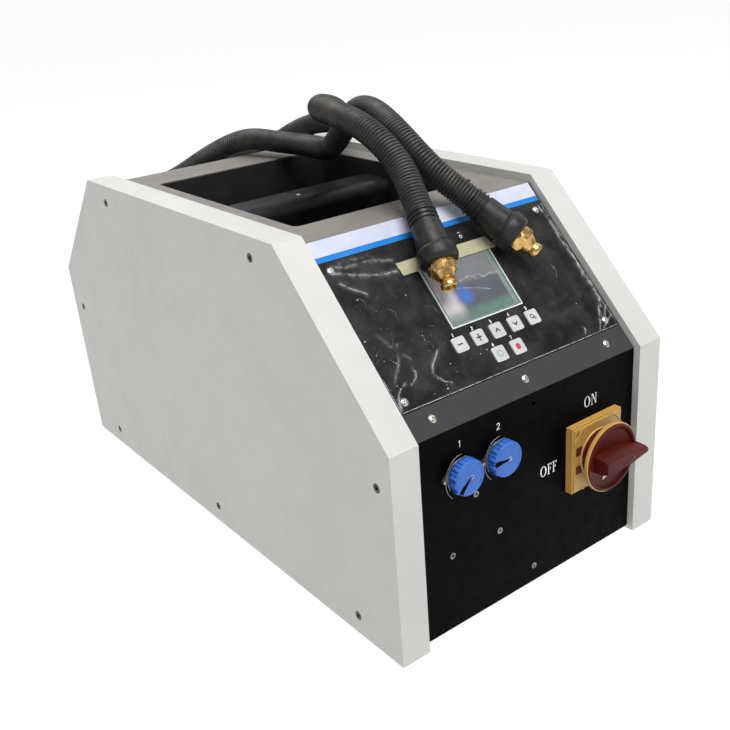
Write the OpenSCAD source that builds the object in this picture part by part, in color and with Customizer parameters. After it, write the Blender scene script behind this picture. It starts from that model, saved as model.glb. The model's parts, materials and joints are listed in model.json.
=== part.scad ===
// Bench-top induction heating machine with two hose leads, a sloping control face and a carry well.
// Frame: +Z up, front towards -Y, origin on the floor under the middle of the cabinet.

/* [Cabinet] */
// Width over both cheeks
body_w = 300; // [290:1:330]
// Depth of the cheeks
body_d = 580; // [570:5:620]
// Height of the cheeks
body_h = 314; // [308:1:330]
// Height that the sloping front edge takes
slope_h = 130; // [126:1:136]
// Depth that the sloping front edge takes
front_run = 126; // [118:1:132]
// Height of the upright rear edge
rear_h = 200; // [192:1:210]
// Depth that the sloping rear edge takes
rear_run = 108; // [96:1:114]
// How far the rear edge is drawn in at the bottom
rear_tuck = 7; // [0:1:9]
// Thickness of a cheek
cheek_t = 27; // [24:1:30]
// Sheet of a cheek
cheek_sheet = 2; // [1.5:0.5:2.5]
// Width of a cheek's return lip
cheek_lip = 9; // [6:0.5:10]
// How far the panels lie behind the cheek edges
face_inset = 6; // [5:0.5:8]
// How far the top cover lies below the cheek tops
top_drop = 7; // [5:0.5:9]
// Height of the floor sheet above the cheek bottoms
base_rise = 3.5; // [2:0.5:5]
// Sheet of the chassis and the panels
sheet_t = 1.5; // [1:0.25:2]
// Gap between the panels and the cheeks
panel_gap = 0.8; // [0.5:0.1:1.2]
// Gap between the top cover and the cheeks
cover_gap = 2; // [1:0.25:3]
// Seam between neighbouring sheets
seam = 0.4; // [0.2:0.1:0.8]
// Height of the feet below the cheeks
foot_h = 10; // [8:1:14]
// Diameter of a foot
foot_d = 30; // [24:1:34]
// Distance of a foot's centre from the cabinet's ends
foot_in = 55; // [45:1:70]

/* [Carry well] */
// Top cover left beside the opening
well_side = 23; // [20:1:30]
// Top cover left in front of the opening
well_front = 46; // [40:1:54]
// Top cover left behind the opening
well_rear = 50; // [44:1:60]
// Depth of the well below the top cover
well_depth = 95; // [85:1:100]
// Width of the well's flange under the top cover
well_flange = 9; // [6:1:12]
// Distance of the bar from the rear of the opening
bar_from_rear = 82.8; // [70:0.2:96]
// Depth of the bar
bar_depth = 40; // [34:1:44]
// How far the bar lies below the top cover
bar_drop = 15; // [10:1:20]
// Height of the bar's folded front
bar_h = 24; // [20:1:28]
// Height of the bar's folded rear edge
bar_back_h = 9; // [6:1:12]
// Radius of the bar's rolled front
bar_roll = 13; // [9:1:16]
// Sheet of the bar
bar_sheet = 2; // [1.5:0.5:2.5]

/* [Control face] */
// Height of the front panel's folded strip
strip_h = 23; // [20:0.5:25]
// Place of the strip screws up the slope
strip_screw_up = 12.5; // [10:0.5:14]
// Distance of the outer strip screws from the panel's ends
strip_screw_in = 25.5; // [20:0.5:30]
// Distance of the corner screws from the control panel's ends
corner_screw_in = 11; // [9:0.5:14]
// Distance of the lower corner screws from the panel's lower edge
corner_screw_up = 8.5; // [7.5:0.5:12]
// Distance of the upper corner screws below the blue line
corner_screw_down = 8.5; // [7:0.5:12]
// Thickness of the overlay and the header strip
overlay_t = 0.5; // [0.3:0.1:0.8]
// Margin between the overlay and the panel's ends
overlay_in = 2.2; // [1.5:0.1:4]
// Height of the white header strip
header_h = 14.6; // [12:0.1:18]
// Height of the blue line
line_h = 4.4; // [3:0.1:6]
// Width of the display over its white border
display_w = 77; // [70:1:84]
// Height of the display over its white border
display_h = 64; // [58:1:66]
// Lower edge of the display up the slope
display_up = 70.5; // [69.5:0.5:73]
// Width of the display's white border
display_border = 2.5; // [2:0.25:4]
// Height of the display's border over the control panel
display_proud = 1.2; // [0.8:0.1:1.5]
// Size of a key
key_size = 13.5; // [12:0.5:14.5]
// Distance between keys in the upper row
key_pitch = 20; // [18:0.5:22]
// Upper key row up the slope
key_row_up = 57.1; // [56:0.1:58]
// Lower key row up the slope
start_row_up = 38.6; // [38:0.1:40]
// How far a key stands over the overlay
key_proud = 0.8; // [0.6:0.1:1.2]
// Travel of a key
key_travel = 0.8; // [0.4:0.1:0.9]
// Clearance round a key
key_fit = 0.2; // [0.15:0.05:0.3]
// Thickness of the protective film
film_t = 0.2; // [0.15:0.05:0.4]
// Length of the tape that holds the film
tape_l = 110; // [80:1:130]
// Width of the tape
tape_w = 12; // [9:1:15]
// Place of the tape up the slope
tape_up = 131; // [127:1:134]

/* [Switch] */
// Switch centre from the right end of the front panel
switch_in = 53.7; // [50:0.1:60]
// Switch centre below the top of the upright front edge
switch_down = 78.5; // [72:0.5:86]
// Side of the yellow switch plate
plate_size = 61; // [56:1:64]
// Thickness of the switch plate
plate_t = 8.3; // [7:0.1:10]
// Chamfer of the switch plate
plate_chamfer = 1.5; // [1:0.25:2]
// Diameter of the knob's disc
knob_d = 60; // [54:1:62]
// Height of the knob's rim over the front panel
knob_rim_z = 23.5; // [21:0.5:26]
// Thickness of the knob's disc
knob_disc_t = 6; // [4:0.5:8]
// Height of the grip's high end over the front panel
knob_h = 36; // [33:0.5:40]
// Thickness of the grip
grip_t = 13; // [10:0.5:16]
// Diameter of the switch shaft
shaft_d = 8; // [6:0.5:10]
// Side of the switch body behind the panel
cam_size = 48; // [42:1:52]
// Depth of the switch body behind the panel
cam_depth = 58; // [50:1:70]

/* [Ports] */
// Left port from the left end of the front panel
port_in = 43.2; // [40:0.2:46]
// Distance between the ports
port_pitch = 40; // [40:0.5:44]
// Ports below the top of the upright front edge
port_down = 43; // [40:0.5:48]
// Diameter of a port cap
cap_d = 29.5; // [28:0.5:31]
// Height of a port cap over the front panel
cap_h = 11; // [10:0.5:14]
// Thickness of a port flange
flange_t = 2.5; // [2:0.25:3.5]
// Distance between a port's two flange screws
flange_pitch = 34; // [33.5:0.25:34.5]
// Shank diameter of a flange screw
port_screw_d = 2; // [1.6:0.2:2.4]
// Diameter of the socket barrel
barrel_d = 24; // [22:0.5:25]
// Depth of a socket behind the panel
socket_depth = 24; // [18:1:30]
// Radius of a lanyard's loop
lanyard_r = 20; // [19:0.5:22]
// Thickness of a lanyard's wire
wire_d = 1.2; // [0.8:0.1:1.6]

/* [Screws] */
// Shank diameter of the cheek and panel screws
screw_d = 4; // [3:0.5:5]
// Head diameter of the cheek and panel screws
head_d = 8; // [7:0.5:9]
// Distance of the cheek screws from the cheek's edge
cheek_screw_in = 17.5; // [16.5:0.5:19]
// Length of a cheek screw
cheek_screw_l = 16; // [12:1:20]
// Diameter of the posts behind the cheek screws
post_d = 9; // [8:0.5:10]
// Shank diameter of the small screws
small_d = 3; // [2.5:0.5:3.5]
// Head diameter of the small screws
small_head_d = 5.6; // [5:0.2:6.4]
// Length of a small screw
small_l = 7; // [6:1:9]

/* [Rear] */
// Output glands from the middle of the rear panel
output_x = 90; // [86:1:94]
// Height of the output glands above the cheek bottoms
output_z = 65; // [60:1:70]
// Length of an output gland behind the rear panel
gland_l = 43; // [38:1:48]
// Size across the flats of a gland nut
gland_af = 36; // [32:1:38]
// Height of a gland nut
gland_nut_h = 12; // [10:1:14]
// Height of the mains gland above the cheek bottoms
mains_z = 30; // [26:1:34]
// Cable bore of the mains gland
mains_bore = 12; // [9:0.5:13]
// Height of the mains gland behind the rear panel
mains_l = 24; // [20:1:28]
// Height of the water hose tails above the cheek bottoms
tail_z = 30; // [24:1:34]
// Outer diameter of a water hose tail
tail_d = 10; // [8:0.5:12]
// Length of a water hose tail behind the rear panel
tail_l = 34; // [28:1:40]
// Side of the fan
fan_size = 120; // [110:1:124]
// Thickness of the fan
fan_t = 25; // [22:1:32]
// Height of the fan's axle above the cheek bottoms
fan_z = 122; // [116:1:128]
// Diameter of the fan's hub
fan_hub = 38; // [32:1:44]
// Number of fan blades
blades = 7; // [5:1:9]

/* [Inside] */
// Width of the cold plate
cold_w = 130; // [110:1:140]
// Depth of the cold plate
cold_d = 190; // [170:1:210]
// Thickness of the cold plate
cold_t = 20; // [16:1:25]
// Width of a power module
module_w = 62; // [55:1:64]
// Depth of a power module
module_d = 106; // [98:1:110]
// Height of a power module
module_h = 30; // [26:1:34]
// Diameter of a capacitor
capacitor_d = 50; // [44:1:54]
// Height of a capacitor
capacitor_h = 105; // [90:1:120]
// Number of capacitors
capacitors = 3; // [2:1:3]
// Width of the output transformer
core_w = 110; // [96:1:116]
// Depth of the output transformer
core_d = 84; // [74:1:90]
// Height of the output transformer
core_h = 90; // [80:1:100]
// Width of the contactor
contactor_w = 45; // [40:1:50]
// Depth of the contactor
contactor_d = 80; // [70:1:86]
// Height of the contactor
contactor_h = 84; // [70:1:90]

/* [Leads] */
// Outer diameter of a lead's hose
hose_d = 23; // [21:0.5:24]
// Bore of a lead's hose
hose_bore = 16; // [14:0.5:17]
// Depth of the hose's ribs
rib_depth = 1; // [0.6:0.1:1.4]
// Number of ribs drawn on each hose
ribs = 100; // [60:1:100]
// Length of the ridged part of a boot
ridge_l = 14; // [12:0.5:18]
// Diameter of a boot over its ridges
ridge_d = 25; // [24:0.5:27]
// Length of a boot's smooth part
sleeve_l = 20; // [16:0.5:24]
// Diameter of a boot behind its collar
sleeve_d = 28; // [26.5:0.5:30]
// Length of a boot's collar
collar_l = 14; // [12:0.5:18]
// Diameter of a boot's collar
collar_d = 33; // [31:0.5:34]
// Size of a brass nut across its flats
nut_af = 19.6; // [18:0.2:20.5]
// Length of a brass nut
nut_l = 12; // [10:0.5:14]
// How far a brass nut stands out of its collar
nut_out = 8; // [6:0.5:9]
// Outer diameter of a nipple
nipple_d = 11.6; // [10:0.2:12.4]
// Bore of a nipple
nipple_bore = 6.6; // [5:0.2:7.4]
// How far a nipple stands out of its nut
nipple_out = 14; // [10:0.5:18]

/* [Hidden] */

$fn = 48;
// One overrun serves every cut
cut = 1;
// Running clearance of shafts, pins and swivels
run_fit = 0.06;
// Clearance between resting pieces
rest_fit = 0.3;
// Clearance between screws and their holes
screw_fit = 0.05;
// Colours
paint = "#dcdcd8";
black_sheet = "#1c1c1e";
rubber = "#232325";
brass = "#c99a3a";
cap_blue = "#3f6fc6";
plate_yellow = "#d9a13a";
knob_red = "#6a1a1c";
steel = "#8f9296";
board_green = "#2f6b45";

function unit(v) = v / norm(v);
function inward(a, b) = let (d = unit(b - a)) [-d[1], d[0]];
function moved_line(a, b, t) = [a + t * inward(a, b), b + t * inward(a, b)];
function cross_at(l, m) = let (r = l[1] - l[0], s = m[1] - m[0], w = m[0] - l[0])
    l[0] + r * (w[0] * s[1] - w[1] * s[0]) / (r[0] * s[1] - r[1] * s[0]);
function inset_ring(ring, insets) = let (n = len(ring)) [for (i = [0:n - 1])
    let (j = (i + n - 1) % n, k = (i + 1) % n)
    cross_at(moved_line(ring[j], ring[i], insets[j]), moved_line(ring[i], ring[k], insets[i]))];
function along(a, b, d) = a + d * unit(b - a);
function thicker(insets, t) = [for (v = insets) v + t];

// Height of the upright front edge
front_h = body_h - slope_h;
// Side outline of the cheeks as (y, z), from the lower front corner round by the rear
cheek_ring = [[0, 0], [body_d - rear_tuck, 0], [body_d, rear_h], [body_d - rear_run, body_h],
    [front_run, body_h], [0, front_h]];
// The same with an upright rear, which the panels follow
core_ring = [[0, 0], [body_d - rear_tuck, 0],
    [body_d - rear_tuck, rear_h + rear_tuck * (body_h - rear_h) / rear_run], [body_d - rear_run, body_h],
    [front_run, body_h], [0, front_h]];
skin_insets = [base_rise, face_inset, face_inset, top_drop, face_inset, face_inset];
// Outer and inner faces of the sheets between the cheeks
skin = inset_ring(core_ring, skin_insets);
lining = inset_ring(core_ring, thicker(skin_insets, sheet_t));
wall_ring = inset_ring(core_ring, [base_rise, face_inset + sheet_t, face_inset + sheet_t,
    top_drop + sheet_t, face_inset + sheet_t, face_inset + sheet_t]);

cheek_x = body_w / 2 - cheek_t;
panel_x = cheek_x - panel_gap;
cover_x = cheek_x - cover_gap;
wall_x = cheek_x - sheet_t;
floor_z = base_rise + sheet_t;
cover_z = body_h - top_drop;
bend = skin[5];
slope = atan2(slope_h, front_run);
slope_l = norm(skin[4] - skin[5]);
rear_y = skin[1][0];
front_y = face_inset;
// Places on the upright panels, from the middle and the cheek bottoms
port_1_x = port_in - panel_x;
port_2_x = port_1_x + port_pitch;
port_z = front_h - port_down;
switch_x = panel_x - switch_in;
switch_z = front_h - switch_down;
// Water hose tails stand midway between the mains gland and the output glands
tail_x = output_x / 2;
screw_r = screw_d / 2;
small_r = small_d / 2;
port_screw_r = port_screw_d / 2;
port_head_r = 2.1 * port_screw_r;
head_r = head_d / 2;
dome_r = 0.9 * head_r;

module in_place() translate([0, -body_d / 2, foot_h]) children();
module slab(x0, x1) rotate([90, 0, 90]) translate([0, 0, x0]) linear_extrude(x1 - x0) children();
module on_front(x, z) translate([x, front_y, z]) rotate([90, 0, 0]) children();
module on_slope(x, s)
    translate([x, bend[0] + s * cos(slope), bend[1] + s * sin(slope)]) rotate([slope, 0, 0]) children();
module on_rear(x, z) translate([x, rear_y, z]) rotate([90, 0, 180]) children();
module block(w, d, h) translate([-w / 2, -d / 2, 0]) cube([w, d, h]);
module both(x) for (side = [-1, 1]) translate([side * x, 0, 0]) children();

/* Screws: the head's top lies on the plane z = 0 and the shank points down */
socket_share = 0.45;
module sunk_screw(r, head, l) {
    socket = 2 * socket_share * r;
    difference() {
        union() {
            translate([0, 0, r - head]) cylinder(h = head - r, r1 = r, r2 = head);
            translate([0, 0, -l]) cylinder(h = l - (head - r), r = r);
        }
        translate([0, 0, -socket]) cylinder(h = socket + cut, r = head * socket_share, $fn = 6);
    }
}
module plain_hole(r, l) translate([0, 0, -l]) cylinder(h = l + cut, r = r + screw_fit);
module sunk_hole(r, head, l) {
    translate([0, 0, r - head])
        cylinder(h = head - r + screw_fit, r1 = r + screw_fit, r2 = head + 2 * screw_fit);
    translate([0, 0, -l]) cylinder(h = l + cut, r = r + screw_fit);
}
// Domed head that stands on the plane z = 0
dome_share = 0.36;
module dome_screw(r, head, l) difference() {
    union() {
        intersection() {
            translate([0, 0, head * dome_share - head * 1.5]) sphere(r = head * 1.5);
            cylinder(h = head, r = head);
        }
        translate([0, 0, -l]) cylinder(h = l + head * dome_share / 2, r = r);
    }
    translate([0, 0, head * dome_share / 2]) for (a = [0, 90]) rotate(a) block(head, head / 4, head);
}

/* Sheet metal */
cheek_screw_at = [[body_d - rear_run - 2.2 * cheek_screw_in, body_h - cheek_screw_in],
    [front_run + 2 * cheek_screw_in, body_h - cheek_screw_in],
    [cheek_screw_in, front_h - 1.8 * cheek_screw_in],
    [body_d - rear_tuck - cheek_screw_in, rear_h - 2.4 * cheek_screw_in],
    [body_d - rear_tuck - 3.3 * cheek_screw_in, cheek_screw_in],
    [body_d / 2 - cheek_screw_in / 3, cheek_screw_in],
    [3.2 * cheek_screw_in, cheek_screw_in]];
module at_cheek_screws(side) for (p = cheek_screw_at)
    translate([side * body_w / 2, p[0], p[1]]) rotate([0, side * 90, 0]) children();

// Slab between two distances from the middle, on one side of it
module side_slab(side, near, far) slab(side > 0 ? near : -far, side > 0 ? far : -near) children();
module cheek(side) difference() {
    side_slab(side, cheek_x, body_w / 2) polygon(cheek_ring);
    side_slab(side, cheek_x + cheek_sheet, body_w / 2 - cheek_sheet)
        polygon(inset_ring(cheek_ring, [for (i = cheek_ring) cheek_sheet]));
    side_slab(side, cheek_x - cut, cheek_x + cheek_sheet + cut)
        polygon(inset_ring(cheek_ring, [for (i = cheek_ring) cheek_sheet + cheek_lip]));
    at_cheek_screws(side) sunk_hole(screw_r, head_r, cheek_sheet + cut);
}
module left_cheek() color(paint) in_place() cheek(-1);
module right_cheek() color(paint) in_place() cheek(1);

module feet_at() for (x = [-1, 1], y = [foot_in, body_d - rear_tuck - foot_in])
    translate([x * (cheek_x - foot_d), y, 0]) children();

// The floor has an air inlet under the cold plate and screw holes for the feet
inlet_slots = 6;
inlet_l = cold_d / 2;
inlet_w = foot_d / 6;
// Posts reach from inside the cheek's outer sheet through the chassis wall
post_end = cheek_t + sheet_t;
module chassis() color(steel) in_place() difference() {
    union() {
        slab(-cheek_x, cheek_x) polygon([wall_ring[0], wall_ring[1], wall_ring[1] + [0, sheet_t],
            wall_ring[0] + [0, sheet_t]]);
        for (x = [-cheek_x, wall_x]) slab(x, x + sheet_t) polygon(wall_ring);
        for (side = [-1, 1]) at_cheek_screws(side) translate([0, 0, -post_end])
            cylinder(h = post_end - cheek_sheet, d = post_d);
    }
    for (side = [-1, 1]) at_cheek_screws(side) plain_hole(screw_r, post_end + cut);
    feet_at() cylinder(h = floor_z + cut, r = screw_r + screw_fit);
    for (i = [0:inlet_slots - 1]) translate([(2 * i - inlet_slots + 1) * inlet_w, body_d / 2, 0])
        block(inlet_w, inlet_l, floor_z + cut);
}
module rubber_feet() color(rubber) in_place() feet_at() difference() {
    translate([0, 0, -foot_h]) cylinder(h = foot_h + base_rise, d1 = foot_d - foot_h / 2, d2 = foot_d);
    translate([0, 0, -foot_h - cut]) cylinder(h = foot_h / 2 + cut, r = head_r);
    translate([0, 0, -foot_h]) cylinder(h = foot_h + base_rise + cut, r = screw_r + screw_fit);
}

// Dull screws of the front panel, from the ports and from its lower edge
upper_screw_right = 15.3;
upper_screw_below = 25;
lower_screw_left = 11;
lower_screw_below = 69.7;
base_screw_up = 15;
front_screw_at = [[port_1_x + upper_screw_right, port_z - upper_screw_below],
    [port_2_x, port_z - lower_screw_below],
    [port_1_x - lower_screw_left, port_z - lower_screw_below],
    [0, base_rise + base_screw_up]];
strip_screw_x = [-panel_x + strip_screw_in, 0, panel_x - strip_screw_in];
lamp_hole_below = 10;
module front_panel() color(black_sheet) in_place() difference() {
    slab(-panel_x, panel_x) polygon([along(skin[5], skin[4], strip_h), skin[5], skin[0],
        wall_ring[0], lining[5], along(lining[5], lining[4], strip_h)]);
    for (p = front_screw_at) on_front(p[0], p[1]) sunk_hole(small_r, small_head_d / 2, sheet_t + cut);
    for (x = strip_screw_x) on_slope(x, strip_screw_up) plain_hole(screw_r, sheet_t + cut);
    on_front(0, bend[1] - lamp_hole_below) plain_hole(screw_r, sheet_t + cut);
    for (x = [port_1_x, port_2_x]) on_front(x, port_z) {
        translate([0, 0, -sheet_t - cut]) cylinder(h = sheet_t + 2 * cut, d = barrel_d + 2 * rest_fit);
        both(flange_pitch / 2) plain_hole(port_screw_r, sheet_t + cut);
    }
    on_front(switch_x, switch_z) {
        translate([0, 0, -sheet_t - cut]) cylinder(h = sheet_t + 2 * cut, r = shaft_d);
        for (a = plate_screw_at) translate(a) plain_hole(small_r, sheet_t + cut);
    }
}

key_names = ["minus", "plus", "up", "down", "set"];
key_x = [for (i = [0:len(key_names) - 1]) (i - (len(key_names) - 1) / 2) * key_pitch];
start_x = key_pitch / 2;
module at_keys() {
    for (x = key_x) on_slope(x, key_row_up) children();
    both(start_x) on_slope(0, start_row_up) children();
}
corner_low = strip_h + seam + corner_screw_up;
corner_high = slope_l - header_h - line_h - corner_screw_down;
module at_corner_screws() for (x = [-1, 1], s = [corner_low, corner_high])
    on_slope(x * (panel_x - corner_screw_in), s) children();
module display_hole(clear, low, high) on_slope(0, display_up + display_h / 2)
    translate([0, 0, low]) block(display_w - 2 * display_border + 2 * clear,
        display_h - 2 * display_border + 2 * clear, high - low);

module control_panel() color(black_sheet) in_place() difference() {
    slab(-panel_x, panel_x) polygon([along(skin[4], skin[5], seam), along(skin[5], skin[4], strip_h + seam),
        along(lining[5], lining[4], strip_h + seam), along(lining[4], lining[5], seam)]);
    at_keys() translate([0, 0, -sheet_t - cut])
        block(key_size + 2 * key_fit, key_size + 2 * key_fit, sheet_t + 2 * cut);
    at_corner_screws() plain_hole(screw_r, sheet_t + cut);
    display_hole(0, -sheet_t - cut, cut);
}
module panel_overlay() color("#26262a") in_place() difference() {
    on_slope(0, strip_h + seam + overlay_in)
        translate([overlay_in - panel_x, 0, 0]) cube([2 * (panel_x - overlay_in),
            slope_l - header_h - line_h - strip_h - 2 * seam - overlay_in, overlay_t]);
    at_keys() translate([0, 0, -cut])
        block(key_size + 2 * key_fit, key_size + 2 * key_fit, overlay_t + 2 * cut);
    at_corner_screws() translate([0, 0, -cut]) cylinder(h = overlay_t + 2 * cut, r = head_r + rest_fit);
    on_slope(0, display_up + display_h / 2) translate([0, 0, -cut])
        block(display_w + 2 * rest_fit, display_h + 2 * rest_fit, overlay_t + 2 * cut);
}
module header_strip() in_place() on_slope(0, slope_l - header_h - line_h - seam)
    translate([overlay_in - panel_x, 0, 0]) {
        color("#2f86d0") cube([2 * (panel_x - overlay_in), line_h, overlay_t]);
        color("#f0f2fa") translate([0, line_h, 0]) cube([2 * (panel_x - overlay_in), header_h, overlay_t]);
    }
module display_bezel() color("#eef0ee") in_place() difference() {
    on_slope(0, display_up + display_h / 2) block(display_w, display_h, display_proud);
    display_hole(0, -cut, display_proud + cut);
}
module display_glass() color("#8d9c9c") in_place()
    display_hole(-rest_fit / 2, -sheet_t, display_proud - rest_fit);
film_z = max(display_proud, overlay_t + key_proud) + seam / 4;
module protective_film() color("#9aa0a8", 0.4) in_place() on_slope(0, strip_h + seam)
    translate([overlay_in - panel_x, 0, film_z])
        cube([2 * (panel_x - overlay_in), slope_l - header_h - line_h - strip_h - 2 * seam, film_t]);
module film_tape() color("#e8dfb4") in_place() on_slope(-rest_fit, tape_up)
    translate([0, 0, film_z + film_t]) block(tape_l, tape_w, film_t);

/* Keys: a cap over a flange that is held under the control panel, and a short stem */
key_flange_t = 1;
key_flange_w = 1.2;
stem_d = 5;
stem_l = 1.6;
key_bottom = -sheet_t - key_fit - key_flange_t - stem_l;
module key() {
    translate([0, 0, -sheet_t - key_fit - key_flange_t]) {
        block(key_size, key_size, sheet_t + key_fit + key_flange_t + overlay_t + key_proud);
        block(key_size + 2 * key_flange_w, key_size + 2 * key_flange_w, key_flange_t);
        translate([0, 0, -stem_l]) cylinder(h = stem_l + cut / 2, d = stem_d);
    }
}
module key_at(x, s) color("#e4e4e2") in_place() on_slope(x, s) key();
module key_minus() key_at(key_x[0], key_row_up);
module key_plus() key_at(key_x[1], key_row_up);
module key_up() key_at(key_x[2], key_row_up);
module key_down() key_at(key_x[3], key_row_up);
module key_set() key_at(key_x[4], key_row_up);
module key_start() key_at(-start_x, start_row_up);
module key_stop() key_at(start_x, start_row_up);

// Board behind the keys, with a switch under each stem, the display module and four spacers
board_t = 1.6;
tact_h = 3.6;
board_z = key_bottom - key_travel - rest_fit - tact_h - board_t;
board_w = display_w + 2 * key_pitch;
board_low = start_row_up - key_size;
board_high = display_up + display_h + key_size / 2;
spacer_d = 6;
module control_board() color(board_green) in_place() {
    on_slope(0, (board_low + board_high) / 2) translate([0, 0, board_z])
        block(board_w, board_high - board_low, board_t);
    at_keys() translate([0, 0, board_z]) block(2 * stem_d, 2 * stem_d, board_t + tact_h);
    display_hole(-rest_fit, board_z, -sheet_t - rest_fit);
    for (x = [-1, 1], s = [board_low + spacer_d, board_high - spacer_d])
        on_slope(x * (board_w / 2 - spacer_d), s) translate([0, 0, board_z])
            cylinder(h = -sheet_t - board_z, d = spacer_d);
}

/* Top cover, well and carry bar */
open_x = cover_x - well_side;
open_y0 = skin[4][0] + well_front;
open_y1 = skin[3][0] - well_rear;
open_r = 4 * sheet_t;
module rounded(w, d, h, r) linear_extrude(h) hull() for (x = [-1, 1], y = [-1, 1])
    translate([x * (w / 2 - r), y * (d / 2 - r)]) circle(r = r, $fn = 32);
module opening(grow, z0, h) translate([0, (open_y0 + open_y1) / 2, z0])
    rounded(2 * (open_x + grow), open_y1 - open_y0 + 2 * grow, h, open_r + grow);
module top_cover() color("#4a4744") in_place() difference() {
    slab(-cover_x, cover_x) polygon([along(skin[3], skin[4], seam), along(skin[4], skin[3], seam),
        along(lining[4], lining[3], seam), along(lining[3], lining[4], seam)]);
    opening(0, cover_z - sheet_t - cut, sheet_t + 2 * cut);
}
well_floor = cover_z - well_depth;
bar_y = open_y1 - bar_from_rear - bar_depth;
module carry_well() color("#222224") in_place() difference() {
    union() {
        opening(sheet_t, well_floor - sheet_t, cover_z - sheet_t - well_floor + sheet_t);
        opening(well_flange, cover_z - 2 * sheet_t, sheet_t);
    }
    opening(0, well_floor, well_depth + cut);
}
roll_steps = 10;
function bar_edge(t) = let (r = bar_roll - t, h = cover_z - bar_drop - t) concat(
    [[bar_y + bar_depth - t, h + t - bar_back_h], [bar_y + bar_depth - t, h]],
    [for (i = [0:roll_steps]) let (a = 90 + 90 * i / roll_steps)
        [bar_y + bar_roll + r * cos(a), cover_z - bar_drop - bar_roll + r * sin(a)]],
    [[bar_y + t, h + t - bar_h]]);
function backwards(list) = [for (i = [len(list) - 1:-1:0]) list[i]];
module carry_bar() color(black_sheet) in_place() {
    slab(-open_x, open_x) polygon(concat(bar_edge(0), backwards(bar_edge(bar_sheet))));
}

/* Rear */
rear_screw_in = 14;
rear_screw_at = [for (x = [-1, 1], z = [skin[1][1] + rear_screw_in, skin[2][1] - rear_screw_in, -1])
    [x * (panel_x - rear_screw_in), z > 0 ? z : (skin[1][1] + skin[2][1]) / 2]];
mains_r = mains_bore / 2 + 2 * sheet_t;
fan_rim = 3;
fan_bore = fan_size - 2 * fan_rim;
fan_hole_in = 7.5;
fan_hole_at = [for (x = [-1, 1], z = [-1, 1]) (fan_size / 2 - fan_hole_in) * [x, z]];
module rear_panel() color(black_sheet) in_place() difference() {
    slab(-panel_x, panel_x) polygon([wall_ring[1], skin[1], skin[2], along(skin[3], skin[2], seam),
        along(lining[3], lining[2], seam), lining[2]]);
    for (p = rear_screw_at) on_rear(p[0], p[1]) plain_hole(small_r, sheet_t + cut);
    on_rear(0, fan_z) {
        translate([0, 0, -sheet_t - cut]) cylinder(h = sheet_t + 2 * cut, d = fan_bore);
        for (p = fan_hole_at) translate(p) plain_hole(small_r, sheet_t + cut);
    }
    both(output_x) on_rear(0, output_z) plain_hole(hose_d / 2, sheet_t + cut);
    both(tail_x) on_rear(0, tail_z) plain_hole(tail_d / 2, sheet_t + cut);
    on_rear(0, mains_z) plain_hole(mains_r, sheet_t + cut);
}

// Glands: a thread through the panel, a hexagon nut and a tapered sleeve with the bore
gland_wall = 3.5;
gland_r = gland_af / 2 / cos(30);
thread_l = 14;
module output_glands() color(rubber) in_place() both(output_x) on_rear(0, output_z) difference() {
    union() {
        translate([0, 0, -thread_l]) cylinder(h = thread_l + gland_nut_h, d = hose_d);
        cylinder(h = gland_nut_h, r = gland_r, $fn = 6);
        translate([0, 0, -sheet_t - gland_nut_h / 2]) cylinder(h = gland_nut_h / 2, r = gland_r, $fn = 6);
        translate([0, 0, gland_nut_h]) cylinder(h = gland_l - gland_nut_h, d1 = gland_af - gland_wall,
            d2 = hose_d + gland_wall);
    }
    translate([0, 0, -thread_l - cut]) cylinder(h = thread_l + gland_l + 2 * cut, d = hose_bore);
}
module mains_gland() color("#2b2b2d") in_place() on_rear(0, mains_z) difference() {
    union() {
        translate([0, 0, -thread_l]) cylinder(h = thread_l + mains_l / 2, r = mains_r);
        cylinder(h = mains_l / 4, r = mains_bore, $fn = 6);
        translate([0, 0, mains_l / 4])
            cylinder(h = mains_l * 3 / 4, d1 = 2 * mains_bore, d2 = mains_bore * 1.5);
        translate([0, 0, -sheet_t - mains_l / 5]) cylinder(h = mains_l / 5, r = mains_bore, $fn = 6);
    }
    translate([0, 0, -thread_l - cut]) cylinder(h = thread_l + mains_l + 2 * cut, d = mains_bore);
}
tail_bore = 6;
barb = 0.8;
barbs = 3;
module water_tails() color(brass) in_place() both(tail_x) on_rear(0, tail_z) difference() {
    union() {
        translate([0, 0, -thread_l]) cylinder(h = thread_l + tail_l - barbs * tail_d / 2, d = tail_d);
        cylinder(h = tail_d / 2, r = tail_d, $fn = 6);
        translate([0, 0, -sheet_t - tail_d / 2]) cylinder(h = tail_d / 2, r = tail_d, $fn = 6);
        for (i = [1:barbs]) translate([0, 0, tail_l - i * tail_d / 2])
            cylinder(h = tail_d / 2, r1 = tail_d / 2, r2 = tail_d / 2 - barb);
    }
    translate([0, 0, -thread_l - cut]) cylinder(h = thread_l + tail_l + 2 * cut, d = tail_bore);
}

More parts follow.
